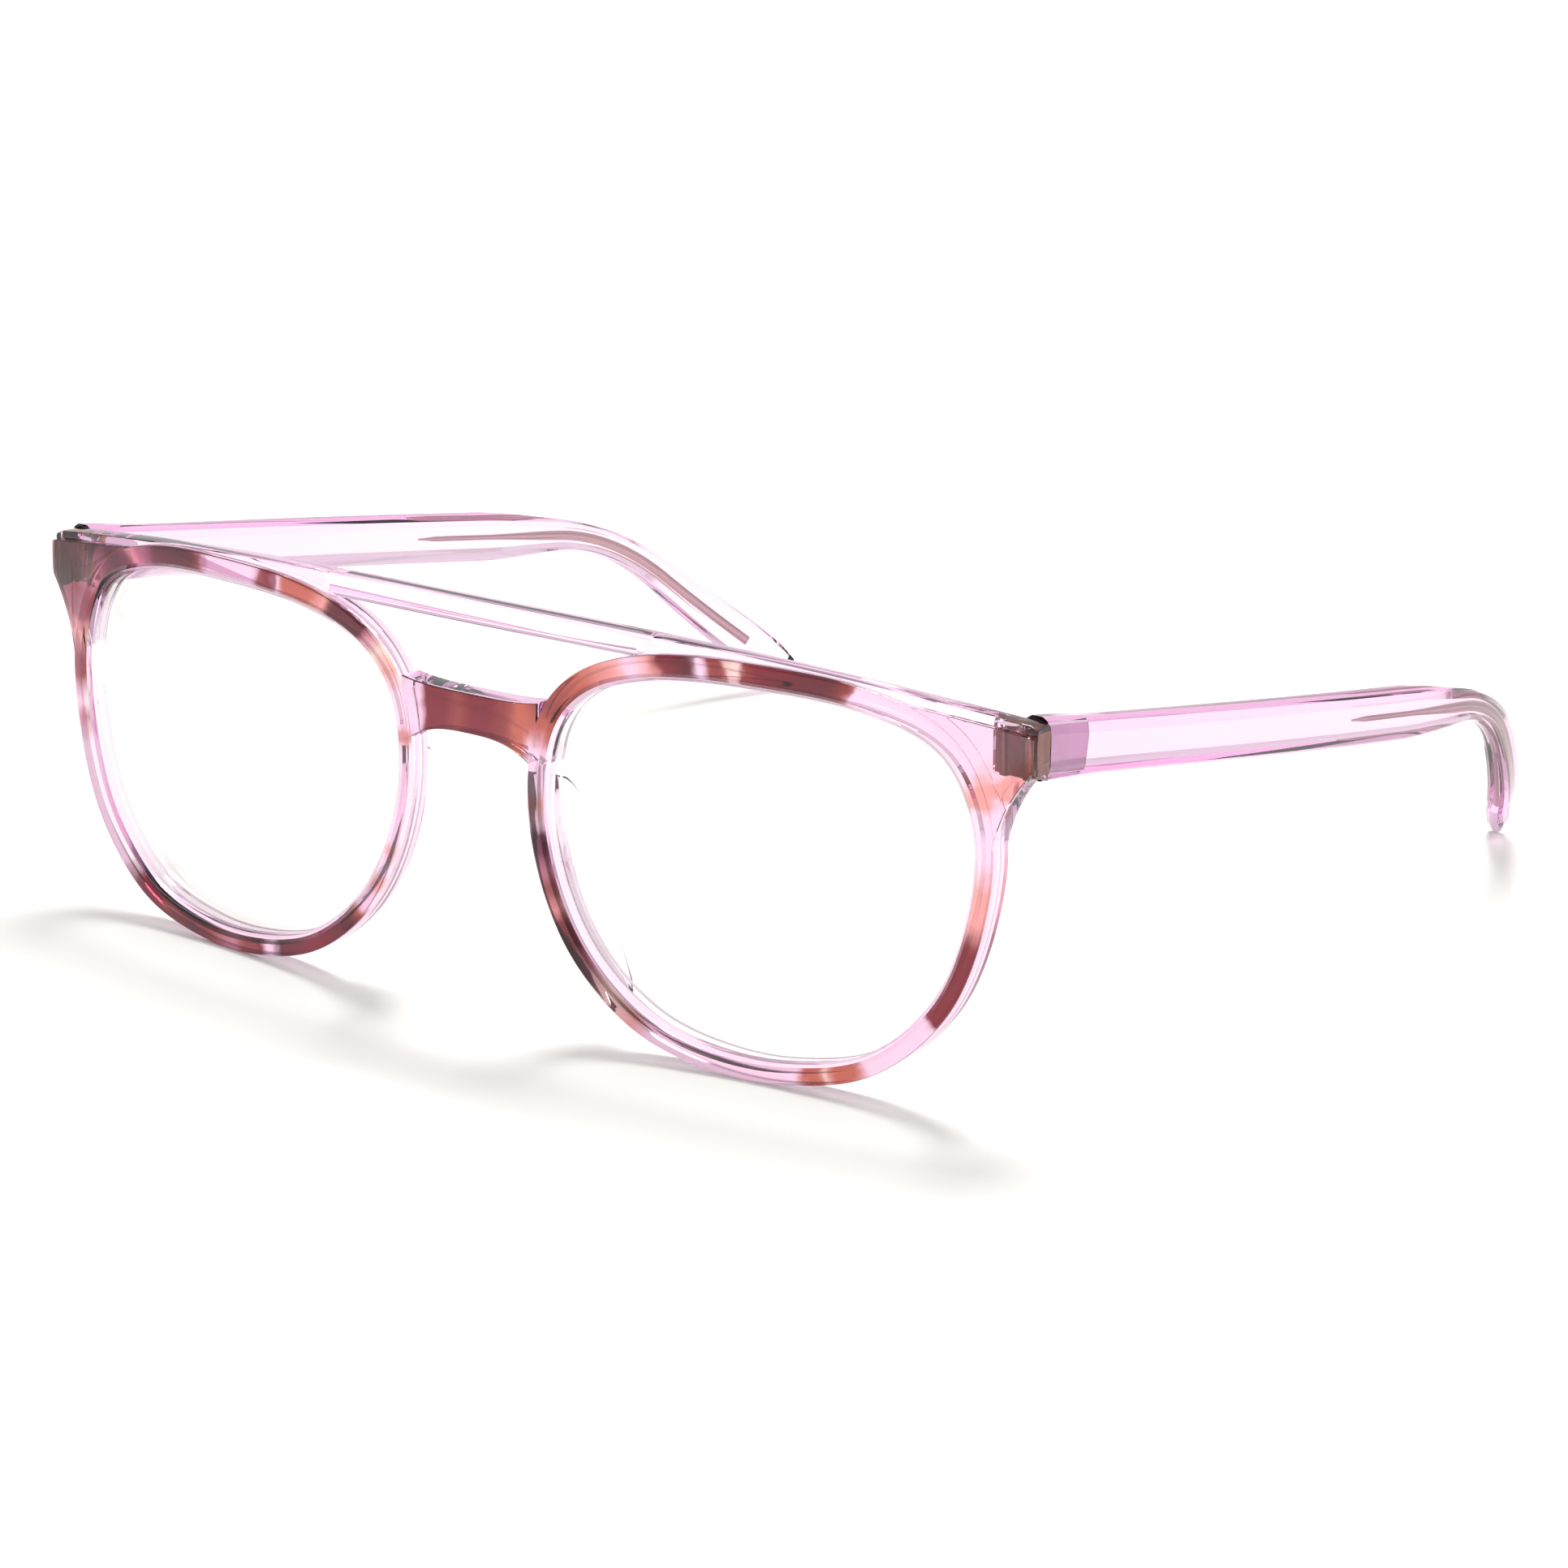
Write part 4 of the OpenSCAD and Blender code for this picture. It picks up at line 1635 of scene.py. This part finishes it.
@dataclass(frozen=True)
class Studio:
    """The camera, the soft light and the pale table."""

    lens_mm: float = 121.93
    azimuth: float = 35.30
    elevation: float = 16.06
    roll: float = -1.11
    eye: Point3 = (366.7, -527.2, 196.8)
    sky: float = 0.9
    dim: float = 0.5
    dim_span: Point2 = (-0.9, 0.1)
    key: float = 7.0
    key_size: float = 0.35
    key_place: Point3 = (-0.15, 0.35, 0.9)
    table_half: float = 4.0

    def camera(self) -> None:
        """Places the scene's camera."""
        a, e, r = (math.radians(v) for v in (self.azimuth, self.elevation, self.roll))
        back = Vector((math.sin(a) * math.cos(e), -math.cos(a) * math.cos(e), math.sin(e)))
        right = Vector((math.cos(a), math.sin(a), 0))
        down = (-back).cross(right)
        across = math.cos(r) * right + math.sin(r) * down
        up = math.sin(r) * right - math.cos(r) * down
        turn = Matrix((across, up, back)).transposed().to_4x4()
        data = bpy.data.cameras.new("Camera")
        data.lens = self.lens_mm
        data.sensor_width = 36.0
        data.clip_end = 50.0
        cam = linked("Camera", data)
        cam.matrix_world = Matrix.Translation(Vector(self.eye) * MM) @ turn
        bpy.context.scene.camera = cam

    def light(self) -> None:
        """Adds the soft light."""
        world = bpy.data.worlds.new("Soft White")
        world.use_nodes = True
        kit = Nodes(world.node_tree)
        sky = world.node_tree.nodes["Background"]
        sky.inputs["Color"].default_value = (1.0, 0.998, 0.985, 1)
        towards = kit.add("ShaderNodeTexCoord").outputs["Generated"]
        depth = kit.add("ShaderNodeSeparateXYZ", {0: towards}).outputs["Y"]
        kit.put(sky.inputs["Strength"], kit.fade(depth, self.dim_span, (self.dim, self.sky)))
        bpy.context.scene.world = world
        data = bpy.data.lights.new("Key", "AREA")
        data.shape = "DISK"
        data.size = self.key_size
        data.energy = self.key
        lamp = linked("Key", data)
        place = Vector(self.key_place)
        lamp.matrix_world = Matrix.Translation(place) @ place.to_track_quat("Z", "Y").to_matrix().to_4x4()

    def table(self) -> None:
        """Adds the table."""
        h = self.table_half
        corners = [(-h, -h, 0), (h, -h, 0), (h, h, 0), (-h, h, 0)]
        floor = linked("Table", mesh_from("Table", corners, [[0, 1, 2, 3]]))
        dress(floor, Backing().material())

    def build(self) -> None:
        """Sets the whole stage."""
        self.camera()
        self.light()
        self.table()
        bpy.context.scene.view_settings.view_transform = "Standard"


def main() -> None:
    """Builds every piece in order."""
    logging.basicConfig(level=logging.INFO, format="%(message)s")
    front, hinge = FrontSize(), HingeSize()
    finishes = Finishes(TortoiseGroup(front), WearGroup())
    outline = LensOutline(front, Front.STEPS)
    Front(front, hinge, WrapTree(), outline).build(finishes)
    pad = NosePad(front, PadSize(), outline)
    arms = Temple(front, hinge, TempleSize(), WireTree())
    for side in Side:
        pad.build(side, finishes)
        arms.build(side, finishes)
    Hardware().dress(finishes)
    Studio().build()


if __name__ == "__main__":
    main()
